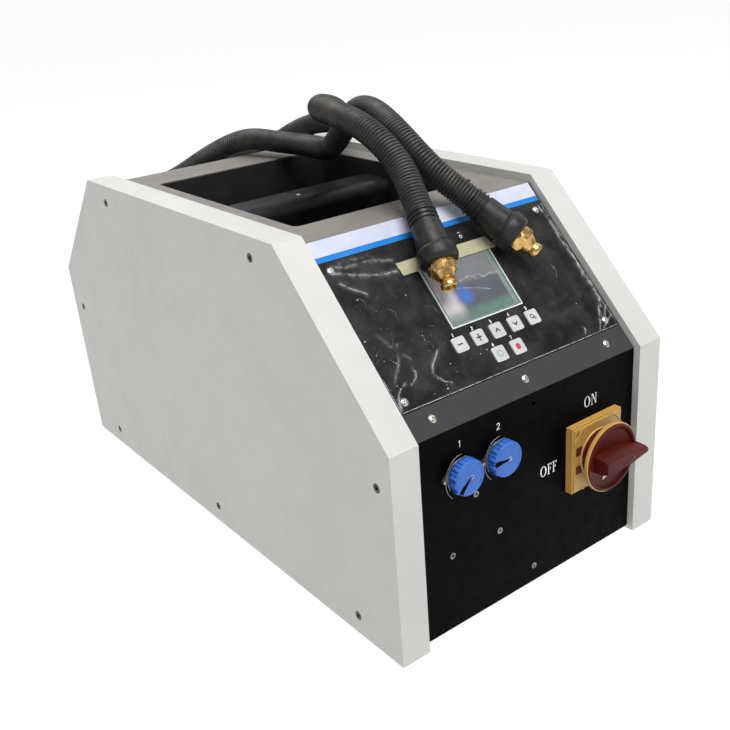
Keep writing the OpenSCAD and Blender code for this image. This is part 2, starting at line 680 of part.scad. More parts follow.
/* Fan: the frame carries the axle, the rotor turns on it, the guard covers the panel's opening */
fan_gap = 1.6;
axle_d = 5;
fan_wall = 3;
strut_w = 7;
blade_t = 1.6;
blade_pitch = 38;
module on_fan() on_rear(0, fan_z) translate([0, 0, -sheet_t - fan_t]) children();
module fan_frame() color("#202022") in_place() on_fan() {
    difference() {
        block(fan_size, fan_size, fan_t);
        translate([0, 0, -cut]) cylinder(h = fan_t + 2 * cut, d = fan_bore);
        for (p = fan_hole_at) translate([p[0], p[1], -cut])
            cylinder(h = fan_t + 2 * cut, r = small_r + screw_fit);
    }
    cylinder(h = fan_wall, d = fan_hub);
    for (a = [45:90:315]) rotate(a) translate([-strut_w / 2, 0, 0]) cube([strut_w, fan_size / 2, fan_wall]);
    cylinder(h = fan_t - fan_wall, d = axle_d);
}
module fan_rotor() color("#2a2a2c") in_place() on_fan() difference() {
    union() {
        translate([0, 0, fan_wall + fan_gap]) cylinder(h = fan_t - fan_wall - 2 * fan_gap, d = fan_hub);
        intersection() {
            translate([0, 0, fan_wall + fan_gap])
                cylinder(h = fan_t - fan_wall - 2 * fan_gap, d = fan_bore - 2 * fan_gap);
            for (i = [0:blades - 1]) rotate(i * 360 / blades)
                translate([fan_hub / 2 - fan_wall, 0, (fan_t + fan_wall) / 2]) rotate([blade_pitch, 0, 0])
                    translate([0, -blade_t / 2, -fan_t]) cube([fan_bore / 2, blade_t, 2 * fan_t]);
        }
    }
    cylinder(h = fan_t, r = axle_d / 2 + run_fit);
}
guard_wire = 2;
guard_rings = 5;
module fan_guard() color(steel) in_place() on_rear(0, fan_z) translate([0, 0, rest_fit]) {
    for (r = [for (i = [1:guard_rings]) fan_bore / 2 * i / guard_rings]) difference() {
        cylinder(h = guard_wire, r = r);
        translate([0, 0, -cut]) cylinder(h = guard_wire + 2 * cut, r = r - guard_wire);
    }
    difference() {
        for (a = [45, 135]) rotate(a)
            block(fan_size * sqrt(2) - 2 * fan_hole_in, 2 * guard_wire, guard_wire);
        for (p = fan_hole_at) translate([p[0], p[1], -cut])
            cylinder(h = guard_wire + 2 * cut, r = small_r + screw_fit);
    }
    for (p = fan_hole_at) translate([p[0], p[1], 0]) difference() {
        cylinder(h = guard_wire, r = small_head_d);
        translate([0, 0, -cut]) cylinder(h = guard_wire + 2 * cut, r = small_r + screw_fit);
    }
}

/* Main switch */
plate_screw_in = 5;
plate_screw_at = [for (x = [-1, 1], z = [-1, 1]) (cam_size / 2 - plate_screw_in) * [x, z]];
window = 7;
plate_neck = 30;
module switch_plate() color(plate_yellow) in_place() on_front(switch_x, switch_z) difference() {
    union() {
        block(plate_size, plate_size, plate_t - plate_chamfer);
        block(plate_size - 2 * plate_chamfer, plate_size - 2 * plate_chamfer, plate_t);
    }
    translate([0, 0, -cut]) cylinder(h = plate_t + 2 * cut, r = shaft_d / 2 + rest_fit);
    for (z = [-1, 1]) translate([-plate_size / 2 + window, z * plate_size / 7, plate_t - sheet_t])
        block(window, window, sheet_t + cut);
    for (p = plate_screw_at) translate([p[0], p[1], -cut])
        cylinder(h = plate_t / 2 + cut, r = small_r + screw_fit);
}
// Knob: a necked skirt, a dished disc and a wedge grip that is high at its tail
knob_z0 = plate_t + rest_fit;
dish = 2;
rim_w = 2.5;
grip_nose_share = 0.8;
grip_tail_share = 1.12;
module knob_shape() difference() {
    union() {
        translate([0, 0, knob_z0]) cylinder(h = knob_rim_z - knob_z0, d1 = plate_neck, d2 = knob_d * 0.8);
        translate([0, 0, knob_rim_z - knob_disc_t]) difference() {
            cylinder(h = knob_disc_t, d = knob_d);
            translate([0, 0, knob_disc_t - dish]) cylinder(h = dish + cut, d = knob_d - 2 * rim_w);
        }
        rotate([90, 0, 0]) translate([0, 0, -grip_t / 2]) linear_extrude(grip_t)
            polygon([[-grip_nose_share * knob_d / 2, knob_rim_z - dish - cut],
                [grip_tail_share * knob_d / 2 - rim_w, knob_rim_z - dish - cut],
                [grip_tail_share * knob_d / 2, knob_rim_z], [grip_tail_share * knob_d / 2, knob_h - rim_w],
                [grip_tail_share * knob_d / 2 - rim_w, knob_h], [knob_d / 6, knob_h - dish],
                [-grip_nose_share * knob_d / 2 + rim_w, knob_rim_z + dish],
                [-grip_nose_share * knob_d / 2, knob_rim_z + dish / 2]]);
    }
    translate([0, 0, knob_z0 - cut]) cylinder(h = shaft_in + rest_fit + cut, r = shaft_d / 2 + screw_fit);
    // Padlock hole through the grip
    translate([knob_d / 3, 0, (knob_rim_z + knob_h) / 2]) rotate([90, 0, 0])
        cylinder(h = grip_t + 2 * cut, r = grip_t / 4, center = true);
}
shaft_in = 10;
module switch_knob() color(knob_red) in_place() on_front(switch_x, switch_z) knob_shape();
cam_step = 8;
module switch_shaft() color(steel) in_place() on_front(switch_x, switch_z)
    translate([0, 0, cam_step - cam_depth])
        cylinder(h = cam_depth - cam_step + knob_z0 + shaft_in, d = shaft_d);
module switch_body() color("#3a3a3c") in_place() on_front(switch_x, switch_z) difference() {
    union() {
        translate([0, 0, -sheet_t - cam_step]) block(cam_size, cam_size, cam_step);
        translate([0, 0, -cam_depth])
            block(cam_size - cam_step, cam_size - cam_step, cam_depth - sheet_t - cut);
        for (x = [-1, 1]) translate([x * (cam_size / 2 - cam_step / 2), 0, -cam_depth + cam_step])
            block(cam_step, cam_size / 2, cam_depth - 3 * cam_step);
    }
    translate([0, 0, -cam_depth + cam_step - rest_fit]) cylinder(h = cam_depth, r = shaft_d / 2 + run_fit);
    for (p = plate_screw_at) translate([p[0], p[1], -sheet_t - cam_step - cut])
        cylinder(h = cam_step + 2 * cut, r = small_r + screw_fit);
}

/* Ports: a flanged socket through the panel, a cap that turns on its barrel and a wire lanyard */
cap_wall = 2.2;
flange_rim = 0.6;
flange_ear = port_head_r + flange_rim;
groove = 1.6;
lug = 1.2;
socket_top = cap_h - cap_wall - rest_fit;
module socket(x) color("#1d1d1f") in_place() on_front(x, port_z) difference() {
    union() {
        hull() {
            cylinder(h = flange_t, d = barrel_d + 2 * lug, $fn = 32);
            both(flange_pitch / 2) cylinder(h = flange_t, r = flange_ear, $fn = 32);
        }
        translate([0, 0, -socket_depth]) cylinder(h = socket_depth + socket_top, d = barrel_d);
    }
    translate([0, 0, flange_t]) cylinder(h = socket_top, d = barrel_d - 2 * cap_wall);
    both(flange_pitch / 2) translate([0, 0, flange_t]) plain_hole(port_screw_r, flange_t + cut);
}
module port_1_socket() socket(port_1_x);
module port_2_socket() socket(port_2_x);
cap_teeth = 24;
// Way that each cap's slit points
slit_turns = [225, 180];
module port_cap(x, turn) color(cap_blue) in_place() on_front(x, port_z) rotate(turn) difference() {
    union() {
        translate([0, 0, flange_t + rest_fit])
            cylinder(h = cap_h - flange_t - rest_fit - groove / 2, d = cap_d);
        translate([0, 0, cap_h - groove / 2]) cylinder(h = groove / 2, d1 = cap_d, d2 = cap_d - groove);
    }
    translate([0, 0, flange_t]) cylinder(h = socket_top - flange_t + rest_fit, r = barrel_d / 2 + rest_fit);
    translate([0, -groove / 2, cap_h - groove / 2]) cube([cap_d, groove, groove]);
    for (i = [0:cap_teeth - 1]) rotate((i + 0.5) * 360 / cap_teeth)
        translate([cap_d / 2, 0, flange_t]) cylinder(h = cap_h, r = groove / 3, $fn = 16);
}
module port_1_cap() port_cap(port_1_x, slit_turns[0]);
module port_2_cap() port_cap(port_2_x, slit_turns[1]);
lanyard_from = 112;
lanyard_sweep = 136;
module cap_lanyards() color("#c8c8c4") in_place() for (x = [port_1_x, port_2_x])
    on_front(x, port_z) translate([0, 0, flange_t + port_head_r * dome_share + wire_d / 2 + rest_fit / 2])
        rotate(lanyard_from) rotate_extrude(angle = lanyard_sweep) translate([lanyard_r, 0])
            circle(d = wire_d, $fn = 16);

/* Fasteners */
module cheek_screws(side) color("#3a3a3c") in_place() at_cheek_screws(side)
    sunk_screw(screw_r, head_r, cheek_screw_l);
module cheek_screws_left() cheek_screws(-1);
module cheek_screws_right() cheek_screws(1);
module panel_screws() color("#c9ccd0") in_place() {
    at_corner_screws() dome_screw(screw_r, dome_r, small_l);
    for (x = strip_screw_x) on_slope(x, strip_screw_up) dome_screw(screw_r, dome_r, small_l);
}
module front_screws() color("#55565a") in_place()
    for (p = front_screw_at) on_front(p[0], p[1]) sunk_screw(small_r, small_head_d / 2, small_l);
module port_screws() color("#b9bcc0") in_place() for (x = [port_1_x, port_2_x])
    on_front(x, port_z) both(flange_pitch / 2) translate([0, 0, flange_t])
        dome_screw(port_screw_r, port_head_r, small_l);
module foot_screws() color("#3a3a3c") in_place() feet_at()
    translate([0, 0, -foot_h / 2]) rotate([180, 0, 0])
        dome_screw(screw_r, dome_r, foot_h / 2 + floor_z + sheet_t);
module rear_screws() color("#3a3a3c") in_place() {
    for (p = rear_screw_at) on_rear(p[0], p[1]) dome_screw(small_r, small_head_d / 2, small_l);
    for (p = fan_hole_at) on_rear(p[0], fan_z + p[1]) translate([0, 0, guard_wire + rest_fit])
        dome_screw(small_r, small_head_d / 2, fan_t / 2);
}

/* Power section, on the floor under the well */
cold_y = body_d / 2;
cold_x = cheek_x - sheet_t - cold_w / 2 - 3 * seam;
channel_d = 9;
module cold_plate() color("#b4b7ba") in_place() translate([cold_x, cold_y, floor_z]) difference() {
    block(cold_w, cold_d, cold_t);
    for (x = [-1, 1]) translate([x * cold_w / 4, -cold_d / 2 - cut, cold_t / 2]) rotate([-90, 0, 0])
        cylinder(h = cold_d + 2 * cut, d = channel_d);
}
module_gap = cold_d / 2 - module_w;
module power_modules() color("#e0ddd2") in_place() for (side = [-1, 1])
    translate([cold_x, cold_y + side * cold_d / 4, floor_z + cold_t]) difference() {
        block(module_d, module_w, module_h);
        for (x = [-1, 0, 1]) translate([x * module_d / 4, 0, module_h - small_l])
            cylinder(h = small_l + cut, r = screw_r);
    }
spacer_h = 8;
spacer_share = 0.4;
module main_board() color(board_green) in_place() translate([cold_x, cold_y, floor_z + cold_t + module_h]) {
    translate([0, 0, spacer_h]) block(module_d, cold_d - module_gap / 2, board_t);
    for (x = [-1, 1], y = [-1, 1]) translate([x * module_d * spacer_share, y * cold_d / 4, 0])
        cylinder(h = spacer_h, d = spacer_d);
    for (i = [-1:1]) translate([0, i * cold_d / 4, spacer_h + board_t])
        block(module_d / 3, module_w / 2, module_h / 2);
}
capacitor_x = -(cheek_x - sheet_t - capacitor_d / 2 - 4 * seam);
clamp_h = 12;
capacitor_gap = 8;
capacitor_pitch = capacitor_d + capacitor_gap;
module capacitor_bank() color("#3d5f8a") in_place() {
    for (i = [0:capacitors - 1])
        translate([capacitor_x, cold_y + (i - (capacitors - 1) / 2) * capacitor_pitch, floor_z])
            cylinder(h = capacitor_h, d = capacitor_d);
    translate([capacitor_x, cold_y, floor_z])
        block(capacitor_d / 2, (capacitors - 1) * capacitor_pitch, clamp_h);
}
fan_clearance = 8;
core_y = rear_y - sheet_t - fan_t - core_d / 2 - fan_clearance;
limb_share = 0.3;
window_at_share = 0.25;
coil_share = 0.48;
module output_transformer() color("#4b3a33") in_place() translate([0, core_y, floor_z]) {
    difference() {
        block(core_w, core_d / 2, core_h);
        for (x = [-1, 1]) translate([x * core_w * window_at_share, 0, core_h * limb_share / 2])
            block(core_w * limb_share / 2, core_d, core_h * (1 - limb_share));
    }
    translate([0, 0, core_h * limb_share / 2]) difference() {
        block(core_w * coil_share, core_d, core_h * (1 - limb_share));
        block(core_w * limb_share / 4, core_d / 2 - cut, core_h * (1 - limb_share));
    }
}
contactor_x = -contactor_w;
shoulder_share = 0.7;
tower_share = 0.6;
terminal_share = 0.42;
wiring_room = 24;
contactor_y = front_y + sheet_t + contactor_d / 2 + wiring_room;
terminals = 3;
terminal_pitch = contactor_w / (terminals + 1);
module contactor() color("#2f3133") in_place() translate([contactor_x, contactor_y, floor_z]) difference() {
    union() {
        block(contactor_w, contactor_d, contactor_h * shoulder_share);
        block(contactor_w, contactor_d * tower_share, contactor_h);
    }
    for (i = [0:terminals - 1], y = [-1, 1])
        translate([(i - (terminals - 1) / 2) * terminal_pitch, y * contactor_d * terminal_share,
            contactor_h * shoulder_share - small_l]) cylinder(h = small_l + cut, r = screw_r);
}

/* Leads: each hose leaves its gland at the rear, loops up over the top and ends in a boot on the face */
route_a = [[-90, 320, 75], [-90, 344, 75], [-90, 368, 75], [-89, 421, 91], [-72, 466, 157],
    [-52, 438, 243], [-36, 362, 269], [-12, 300, 272], [10, 236, 311], [36, 179, 338], [46, 138, 333],
    [62, 88, 333], [51, 35, 331], [25, -44, 398], [6, -116, 383], [11, -153, 352], [22, -168, 337],
    [33, -183, 322]];
route_b = [[90, 320, 75], [90, 344, 75], [90, 368, 75], [90, 418, 94], [93, 460, 166], [97, 426, 262],
    [101, 340, 293], [101, 271, 292], [110, 212, 323], [111, 168, 339], [112, 130, 346], [89, 64, 353],
    [57, 34, 379], [-18, -29, 393], [-20, -109, 390], [-11, -148, 357], [-16, -165, 340],
    [-21, -182, 323]];
function padded(p) = let (n = len(p)) concat([2 * p[0] - p[1]], p, [2 * p[n - 1] - p[n - 2]]);
function spline_at(p, u) = let (i = min(floor(u), len(p) - 4), t = u - i,
    w = [(1 - t) ^ 3, 3 * t ^ 3 - 6 * t ^ 2 + 4, -3 * t ^ 3 + 3 * t ^ 2 + 3 * t + 1, t ^ 3] / 6)
    w[0] * p[i] + w[1] * p[i + 1] + w[2] * p[i + 2] + w[3] * p[i + 3];
fine = 10;
function samples(p) = let (q = padded(p), spans = len(p) - 1)
    [for (i = [0:spans * fine]) spline_at(q, i / fine)];
function running(points, i = 0, sum = 0, out = []) = i >= len(points) ? out :
    let (next = i + 1 < len(points) ? sum + norm(points[i + 1] - points[i]) : sum)
    running(points, i + 1, next, concat(out, [sum]));
function length_table(lengths) = [for (i = [0:len(lengths) - 1]) [lengths[i], i / fine]];
function even_points(p, n) = let (q = padded(p), s = running(samples(p)), table = length_table(s),
    total = s[len(s) - 1]) [for (i = [0:n]) spline_at(q, lookup(i * total / n, table))];
function tangent(p, i) = unit(p[min(i + 1, len(p) - 1)] - p[max(i - 1, 0)]);
function ring_at(c, t, r, sides) = let (a = unit(cross(t, [1, 0, 0])), b = cross(t, a))
    [for (k = [0:sides - 1]) c + r * (cos(360 * k / sides) * a + sin(360 * k / sides) * b)];
sides = 8;
bore_steps = 44;
function strip(from, rings) = [for (i = [0:rings - 2], k = [0:sides - 1], h = [0, 1])
    let (a = from + i * sides + k, b = from + i * sides + (k + 1) % sides)
    h == 0 ? [a, b, b + sides] : [a, b + sides, a + sides]];
function turned(faces) = [for (f = faces) [f[0], f[2], f[1]]];
function lid(outer, inner) = [for (k = [0:sides - 1], h = [0, 1]) let (j = (k + 1) % sides)
    h == 0 ? [outer + k, inner + k, inner + j] : [outer + k, inner + j, outer + j]];
module hose(route) {
    line = even_points(route, 2 * ribs);
    core = even_points(route, bore_steps);
    n = len(line);
    m = len(core);
    wall = [for (i = [0:n - 1]) each ring_at(line[i], tangent(line, i),
        hose_d / 2 - (i % 2 == 1 ? 0 : rib_depth), sides)];
    ways = [for (i = [0:m - 1]) i == 0 ? tangent(line, 0) : i == m - 1 ? tangent(line, n - 1) :
        tangent(core, i)];
    bore = [for (i = [0:m - 1]) each ring_at(core[i], ways[i], hose_bore / 2, sides)];
    polyhedron(points = concat(wall, bore), faces = concat(strip(0, n), turned(strip(n * sides, m)),
        lid(0, n * sides), turned(lid((n - 1) * sides, (n + m - 1) * sides))), convexity = 8);
}
module hose_a() color(rubber) hose(route_a);
module hose_b() color(rubber) hose(route_b);

// Least gaps of the leads, measured between points along their centre lines
check_steps = 160;
check_a = even_points(route_a, check_steps);
check_b = even_points(route_b, check_steps);
apart = round(check_steps / 10);
function least_self(p) = min([for (i = [0:len(p) - 1 - apart], j = [i + apart:len(p) - 1])
    norm(p[i] - p[j])]);
function least_between(p, q) = min([for (a = p, b = q) norm(a - b)]);
echo(hose_length = [running(check_a)[check_steps], running(check_b)[check_steps]]);
echo(least_gap_to_itself = [least_self(check_a) - hose_d, least_self(check_b) - hose_d]);
echo(least_gap_between = least_between(check_a, check_b) - hose_d);

// Boot, nut and nipple stand on the hose's end, along its last direction
collar_z0 = ridge_l + sleeve_l;
boot_l = collar_z0 + collar_l;
ridges = 4;
nut_z0 = boot_l + nut_out - nut_l;
nipple_z1 = boot_l + nut_out + nipple_out;
foot_of_nipple = 6;
function pitch_of(v) = acos(v[2] / norm(v));
function heading_of(v) = atan2(v[1], v[0]);
module at_end(route) {
    n = len(route);
    v = route[n - 1] - route[n - 2];
    translate(route[n - 1]) rotate([0, pitch_of(v), heading_of(v)]) children();
}
ridge_gap = ridge_l / ridges / 2;
collar_round = 3;
function boot_profile() = concat([[0, 0]],
    [for (i = [0:ridges - 1]) each let (z = i * 2 * ridge_gap)
        [[ridge_d / 2, z], [ridge_d / 2, z + ridge_gap], [ridge_d / 2 - rib_depth, z + ridge_gap],
        [ridge_d / 2 - rib_depth, z + 2 * ridge_gap]]],
    [[ridge_d / 2, ridge_l], [sleeve_d / 2, collar_z0], [collar_d / 2 - collar_round, collar_z0],
    [collar_d / 2, collar_z0 + collar_round], [collar_d / 2, boot_l - collar_round],
    [collar_d / 2 - collar_round / 2, boot_l], [0, boot_l]]);
nut_r = nut_af / 2 / cos(30);
module boot() difference() {
    rotate_extrude() polygon(boot_profile());
    translate([0, 0, -cut]) cylinder(h = ridge_l + cut, d = hose_bore);
    translate([0, 0, ridge_l - cut]) cylinder(h = boot_l, r = nipple_d / 2 + screw_fit);
    translate([0, 0, nut_z0 - rest_fit]) cylinder(h = nut_l, r = nut_r + rest_fit);
    translate([0, 0, nut_z0 - rest_fit - foot_of_nipple])
        cylinder(h = foot_of_nipple + cut, r = nipple_d / 2 + lug + screw_fit);
}
module boot_a() color(rubber) at_end(route_a) boot();
module boot_b() color(rubber) at_end(route_b) boot();
nut_chamfer = 1.2;
module brass_nut() difference() {
    intersection() {
        translate([0, 0, nut_z0]) cylinder(h = nut_l, r = nut_r, $fn = 6);
        union() {
            translate([0, 0, nut_z0]) cylinder(h = nut_l - nut_chamfer, r = nut_r);
            translate([0, 0, nut_z0 + nut_l - nut_chamfer])
                cylinder(h = nut_chamfer, r1 = nut_r, r2 = nut_r - 2 * nut_chamfer);
        }
    }
    translate([0, 0, nut_z0 - cut]) cylinder(h = nut_l + 2 * cut, r = nipple_d / 2 + run_fit);
}
module brass_nut_a() color(brass) at_end(route_a) brass_nut();
module brass_nut_b() color(brass) at_end(route_b) brass_nut();
module nipple() difference() {
    union() {
        translate([0, 0, ridge_l]) cylinder(h = nipple_z1 - ridge_l, d = nipple_d);
        translate([0, 0, nut_z0 - rest_fit - foot_of_nipple + screw_fit])
            cylinder(h = foot_of_nipple - screw_fit, r = nipple_d / 2 + lug);
        translate([0, 0, boot_l + nut_out + rest_fit]) cylinder(h = lug, r = nipple_d / 2 + lug);
    }
    translate([0, 0, ridge_l - cut]) cylinder(h = nipple_z1 - ridge_l + 2 * cut, d = nipple_bore);
}
module nipple_a() color(brass) at_end(route_a) nipple();
module nipple_b() color(brass) at_end(route_b) nipple();

chassis();
left_cheek();
right_cheek();
front_panel();
control_panel();
top_cover();
carry_well();
carry_bar();
rear_panel();
rubber_feet();
panel_overlay();
header_strip();
display_bezel();
display_glass();
protective_film();
film_tape();
key_minus();
key_plus();
key_up();
key_down();
key_set();
key_start();
key_stop();
control_board();
switch_plate();
switch_knob();
switch_shaft();
switch_body();
port_1_socket();
port_2_socket();
port_1_cap();
port_2_cap();
cap_lanyards();
cheek_screws_left();
cheek_screws_right();
panel_screws();
front_screws();
port_screws();
foot_screws();
rear_screws();
cold_plate();
power_modules();
capacitor_bank();
output_transformer();
main_board();
contactor();
fan_frame();
fan_rotor();
fan_guard();
mains_gland();
output_glands();
water_tails();
hose_a();
hose_b();
boot_a();
boot_b();
brass_nut_a();
brass_nut_b();
nipple_a();
nipple_b();
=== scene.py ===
import json
import math
import random

import bmesh
import bpy
from mathutils import Matrix, Vector, noise


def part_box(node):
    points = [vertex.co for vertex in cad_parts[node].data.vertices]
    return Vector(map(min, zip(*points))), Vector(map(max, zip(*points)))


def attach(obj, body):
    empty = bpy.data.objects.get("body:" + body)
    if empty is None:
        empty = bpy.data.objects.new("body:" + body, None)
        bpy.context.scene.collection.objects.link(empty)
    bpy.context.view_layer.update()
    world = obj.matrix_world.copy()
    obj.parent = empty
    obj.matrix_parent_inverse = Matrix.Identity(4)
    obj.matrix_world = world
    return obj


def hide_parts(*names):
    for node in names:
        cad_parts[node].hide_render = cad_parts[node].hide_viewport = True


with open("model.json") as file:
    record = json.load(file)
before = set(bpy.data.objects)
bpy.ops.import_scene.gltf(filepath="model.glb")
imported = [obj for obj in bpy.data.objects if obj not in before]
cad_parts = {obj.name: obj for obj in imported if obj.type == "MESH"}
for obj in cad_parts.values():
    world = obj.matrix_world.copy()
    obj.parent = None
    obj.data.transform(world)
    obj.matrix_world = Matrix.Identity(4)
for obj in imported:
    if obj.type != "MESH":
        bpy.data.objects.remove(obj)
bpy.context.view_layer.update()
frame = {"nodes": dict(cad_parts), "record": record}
NODES = frame["nodes"]
MM = 0.001


def mm(*values):
    """A point given in millimetres, in metres."""
    return Vector(values) * MM


# Places on the object, worked out from the frame
def outer_normal(node):
    """The direction that a sheet's largest face looks in, turned upwards."""
    face = max(NODES[node].data.polygons, key=lambda p: p.area)
    return face.normal.copy() if face.normal.z > 0 else -face.normal


FACE_NORMAL = outer_normal("control_panel")
FACE_HEIGHT = max(v.co @ FACE_NORMAL for v in NODES["control_panel"].data.vertices)
FRONT_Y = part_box("front_panel")[0].y
BEND = Vector((0, FRONT_Y, (FACE_HEIGHT - FRONT_Y * FACE_NORMAL.y) / FACE_NORMAL.z))
SLOPE_UP = Vector((0, FACE_NORMAL.z, -FACE_NORMAL.y))
FOOT_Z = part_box("left_cheek")[0].z
# Heights up the slope and distances from its middle, in millimetres
LINE_TOP = 160.1
BEZEL_LOW = 71.4
BEZEL_SIDE = 37.6
STRIP_LEFT = 31.5


def frame_of(origin, across, up, out):
    """Matrix whose columns are the three directions, standing on the origin."""
    m = Matrix.Identity(4)
    for i, axis in enumerate((across, up, out)):
        m.col[i][:3] = axis
    m.col[3][:3] = origin
    return m


X, Y, Z = Vector((1, 0, 0)), Vector((0, 1, 0)), Vector((0, 0, 1))
ON_SLOPE = frame_of(BEND, X, SLOPE_UP, FACE_NORMAL)
ON_FRONT = frame_of(Vector((0, FRONT_Y, FOOT_Z)), X, Z, -Y)


def at(place, x, y, z=0.0):
    """A place's frame moved by millimetres along its own axes."""
    return place @ Matrix.Translation(mm(x, y, z))


# Camera
CAMERA_AT = (-0.5022, -0.7634, 0.5235)
CAMERA_TURN = (1.1627, 0.0685, -0.6602)
CAMERA_LENS = 47.80
CAMERA_SENSOR = 36
CAMERA_SHIFT = (-0.0120, -0.0066)
camera_data = bpy.data.cameras.new("camera")
camera_data.lens = CAMERA_LENS
camera_data.sensor_width = CAMERA_SENSOR
camera_data.shift_x, camera_data.shift_y = CAMERA_SHIFT
camera = bpy.data.objects.new("camera", camera_data)
camera.location = CAMERA_AT
camera.rotation_euler = CAMERA_TURN
bpy.context.scene.collection.objects.link(camera)
bpy.context.scene.camera = camera


# Materials
class Finish:
    """A node material round one Principled shader. Places are read from the piece's own coordinates."""

    def __init__(self, name, color, roughness, metallic=0.0, **sockets):
        self.material = bpy.data.materials.new(name)
        self.material.use_nodes = True
        self.tree = self.material.node_tree
        self.shader = self.tree.nodes["Principled BSDF"]
        self.shader.inputs["Base Color"].default_value = (*color, 1)
        self.shader.inputs["Roughness"].default_value = roughness
        self.shader.inputs["Metallic"].default_value = metallic
        for socket, value in sockets.items():
            self.shader.inputs[socket.replace("_", " ")].default_value = value
        self.place = self.tree.nodes.new("ShaderNodeTexCoord").outputs["Object"]
        self.color = (*color, 1)
        self.bumps = None

    def set(self, socket, value):
        """Links an output to a socket, or writes a number or colour on it."""
        if isinstance(value, bpy.types.NodeSocket):
            self.tree.links.new(value, socket)
        else:
            socket.default_value = value

    def node(self, kind, inputs, output=0, **settings):
        """Adds a node, fills its inputs and gives back one of its outputs."""
        made = self.tree.nodes.new("ShaderNode" + kind)
        for key, value in settings.items():
            setattr(made, key, value)
        for key, value in inputs.items():
            self.set(made.inputs[key], value)
        return made.outputs[output]

    def math(self, operation, a, b=0.0):
        return self.node("Math", {0: a, 1: b}, operation=operation)

    def times(self, a, b):
        return self.math("MULTIPLY", a, b)

    def range(self, value, low, high, to_low=0.0, to_high=1.0, kind="SMOOTHSTEP"):
        inputs = dict(enumerate((value, low, high, to_low, to_high)))
        return self.node("MapRange", inputs, interpolation_type=kind)

    def stretched(self, scale):
        return self.node("Mapping", {"Vector": self.place, "Scale": scale})

    def noise(self, size_mm, detail=2.0, rough=0.5, place=None):
        inputs = {"Vector": place or self.place, "Scale": 1 / (size_mm * MM)}
        return self.node("TexNoise", {**inputs, "Detail": detail, "Roughness": rough})

    def cells(self, size_mm, feature="F1"):
        inputs = {"Vector": self.place, "Scale": 1 / (size_mm * MM)}
        return self.node("TexVoronoi", inputs, "Distance", feature=feature)

    def attribute(self, name):
        return self.node("Attribute", {}, "Fac", attribute_name=name)

    def axis(self, name):
        return self.node("SeparateXYZ", {0: self.place}, name)

    def dot(self, direction, vector=None):
        inputs = {0: vector or self.place, 1: direction}
        return self.node("VectorMath", inputs, "Value", operation="DOT_PRODUCT")

    def facing(self, direction):
        """How far the surface looks along a direction, from minus one to one."""
        return self.dot(direction, self.node("NewGeometry", {}, "Normal"))

    def tint(self, color, share):
        """Lays another colour over the surface where share is high."""
        self.color = self.node("Mix", {"Factor": share, 6: self.color, 7: (*color, 1)}, 2, data_type="RGBA")
        self.set(self.shader.inputs["Base Color"], self.color)
        return self

    def rough(self, value, low, high):
        """Lets the roughness follow a noise."""
        self.set(self.shader.inputs["Roughness"], self.range(value, 0.3, 0.7, low, high, "LINEAR"))
        return self

    def bump(self, height, depth_mm):
        """Adds a height to the surface. A depth is in millimetres."""
        inputs = {"Distance": depth_mm * MM, "Height": height}
        if self.bumps is not None:
            inputs["Normal"] = self.bumps
        self.bumps = self.node("Bump", inputs, "Normal")
        self.set(self.shader.inputs["Normal"], self.bumps)
        return self


def powder_coat(name, color, shade, peel_mm, peel_depth, roughness, edge, gloss=0.5):
    """Baked paint: an orange peel surface, faint clouds and lighter edges."""
    f = Finish(name, color, roughness, Specular_IOR_Level=gloss)
    clouds = f.noise(60, 3)
    f.tint(shade, f.range(clouds, 0.42, 0.62, 0, 0.8))
    worn = f.range(f.noise(5, 3), 0.35, 0.65, 0.2, 0.9)
    f.tint(edge, f.times(f.attribute("edge"), worn))
    f.rough(f.noise(9, 2), roughness - 0.07, roughness + 0.09)
    f.bump(f.noise(peel_mm, 1.5), peel_depth)
    return f


def dust_and_top_sheen(f, dust, share):
    """Lays pale dust and a painted highlight on what looks up, more where the noise is high."""
    # The lighter upper side is partly real dust and partly a painted highlight
    up = f.range(f.facing((0, 0, 1)), 0.1, 0.95, 0, 1)
    patch = f.range(f.noise(20, 4), 0.35, 0.7, 0.15, 1)
    return f.tint(dust, f.times(f.times(up, patch), share))


def plastic(name, color, roughness, shade, grain_mm=0.6, depth=0.012, edge=None, gloss=0.5):
    """Moulded plastic: a fine grain, faint flow marks and, where an edge colour is given, rubbed edges."""
    f = Finish(name, color, roughness, Specular_IOR_Level=gloss)
    f.tint(shade, f.range(f.noise(22, 3), 0.38, 0.66, 0, 0.8))
    if edge:
        rubbed = f.range(f.noise(3, 2), 0.3, 0.6, 0.3, 0.8)
        f.tint(edge, f.times(f.attribute("edge"), rubbed))
    f.rough(f.noise(5, 3), roughness - 0.06, roughness + 0.08)
    f.bump(f.noise(grain_mm, 1), depth)
    return f


def metal(name, color, roughness, shade, grain=(1, 1, 1), grain_mm=0.5, depth=0.006):
    """Worked metal: tarnish in clouds and a grain that can run one way."""
    f = Finish(name, color, roughness, 1.0)
    f.tint(shade, f.range(f.noise(6, 4), 0.4, 0.7, 0, 0.85))
    f.rough(f.noise(3, 3), roughness - 0.06, roughness + 0.12)
    f.bump(f.noise(grain_mm, 2, place=f.stretched(grain)), depth)
    return f


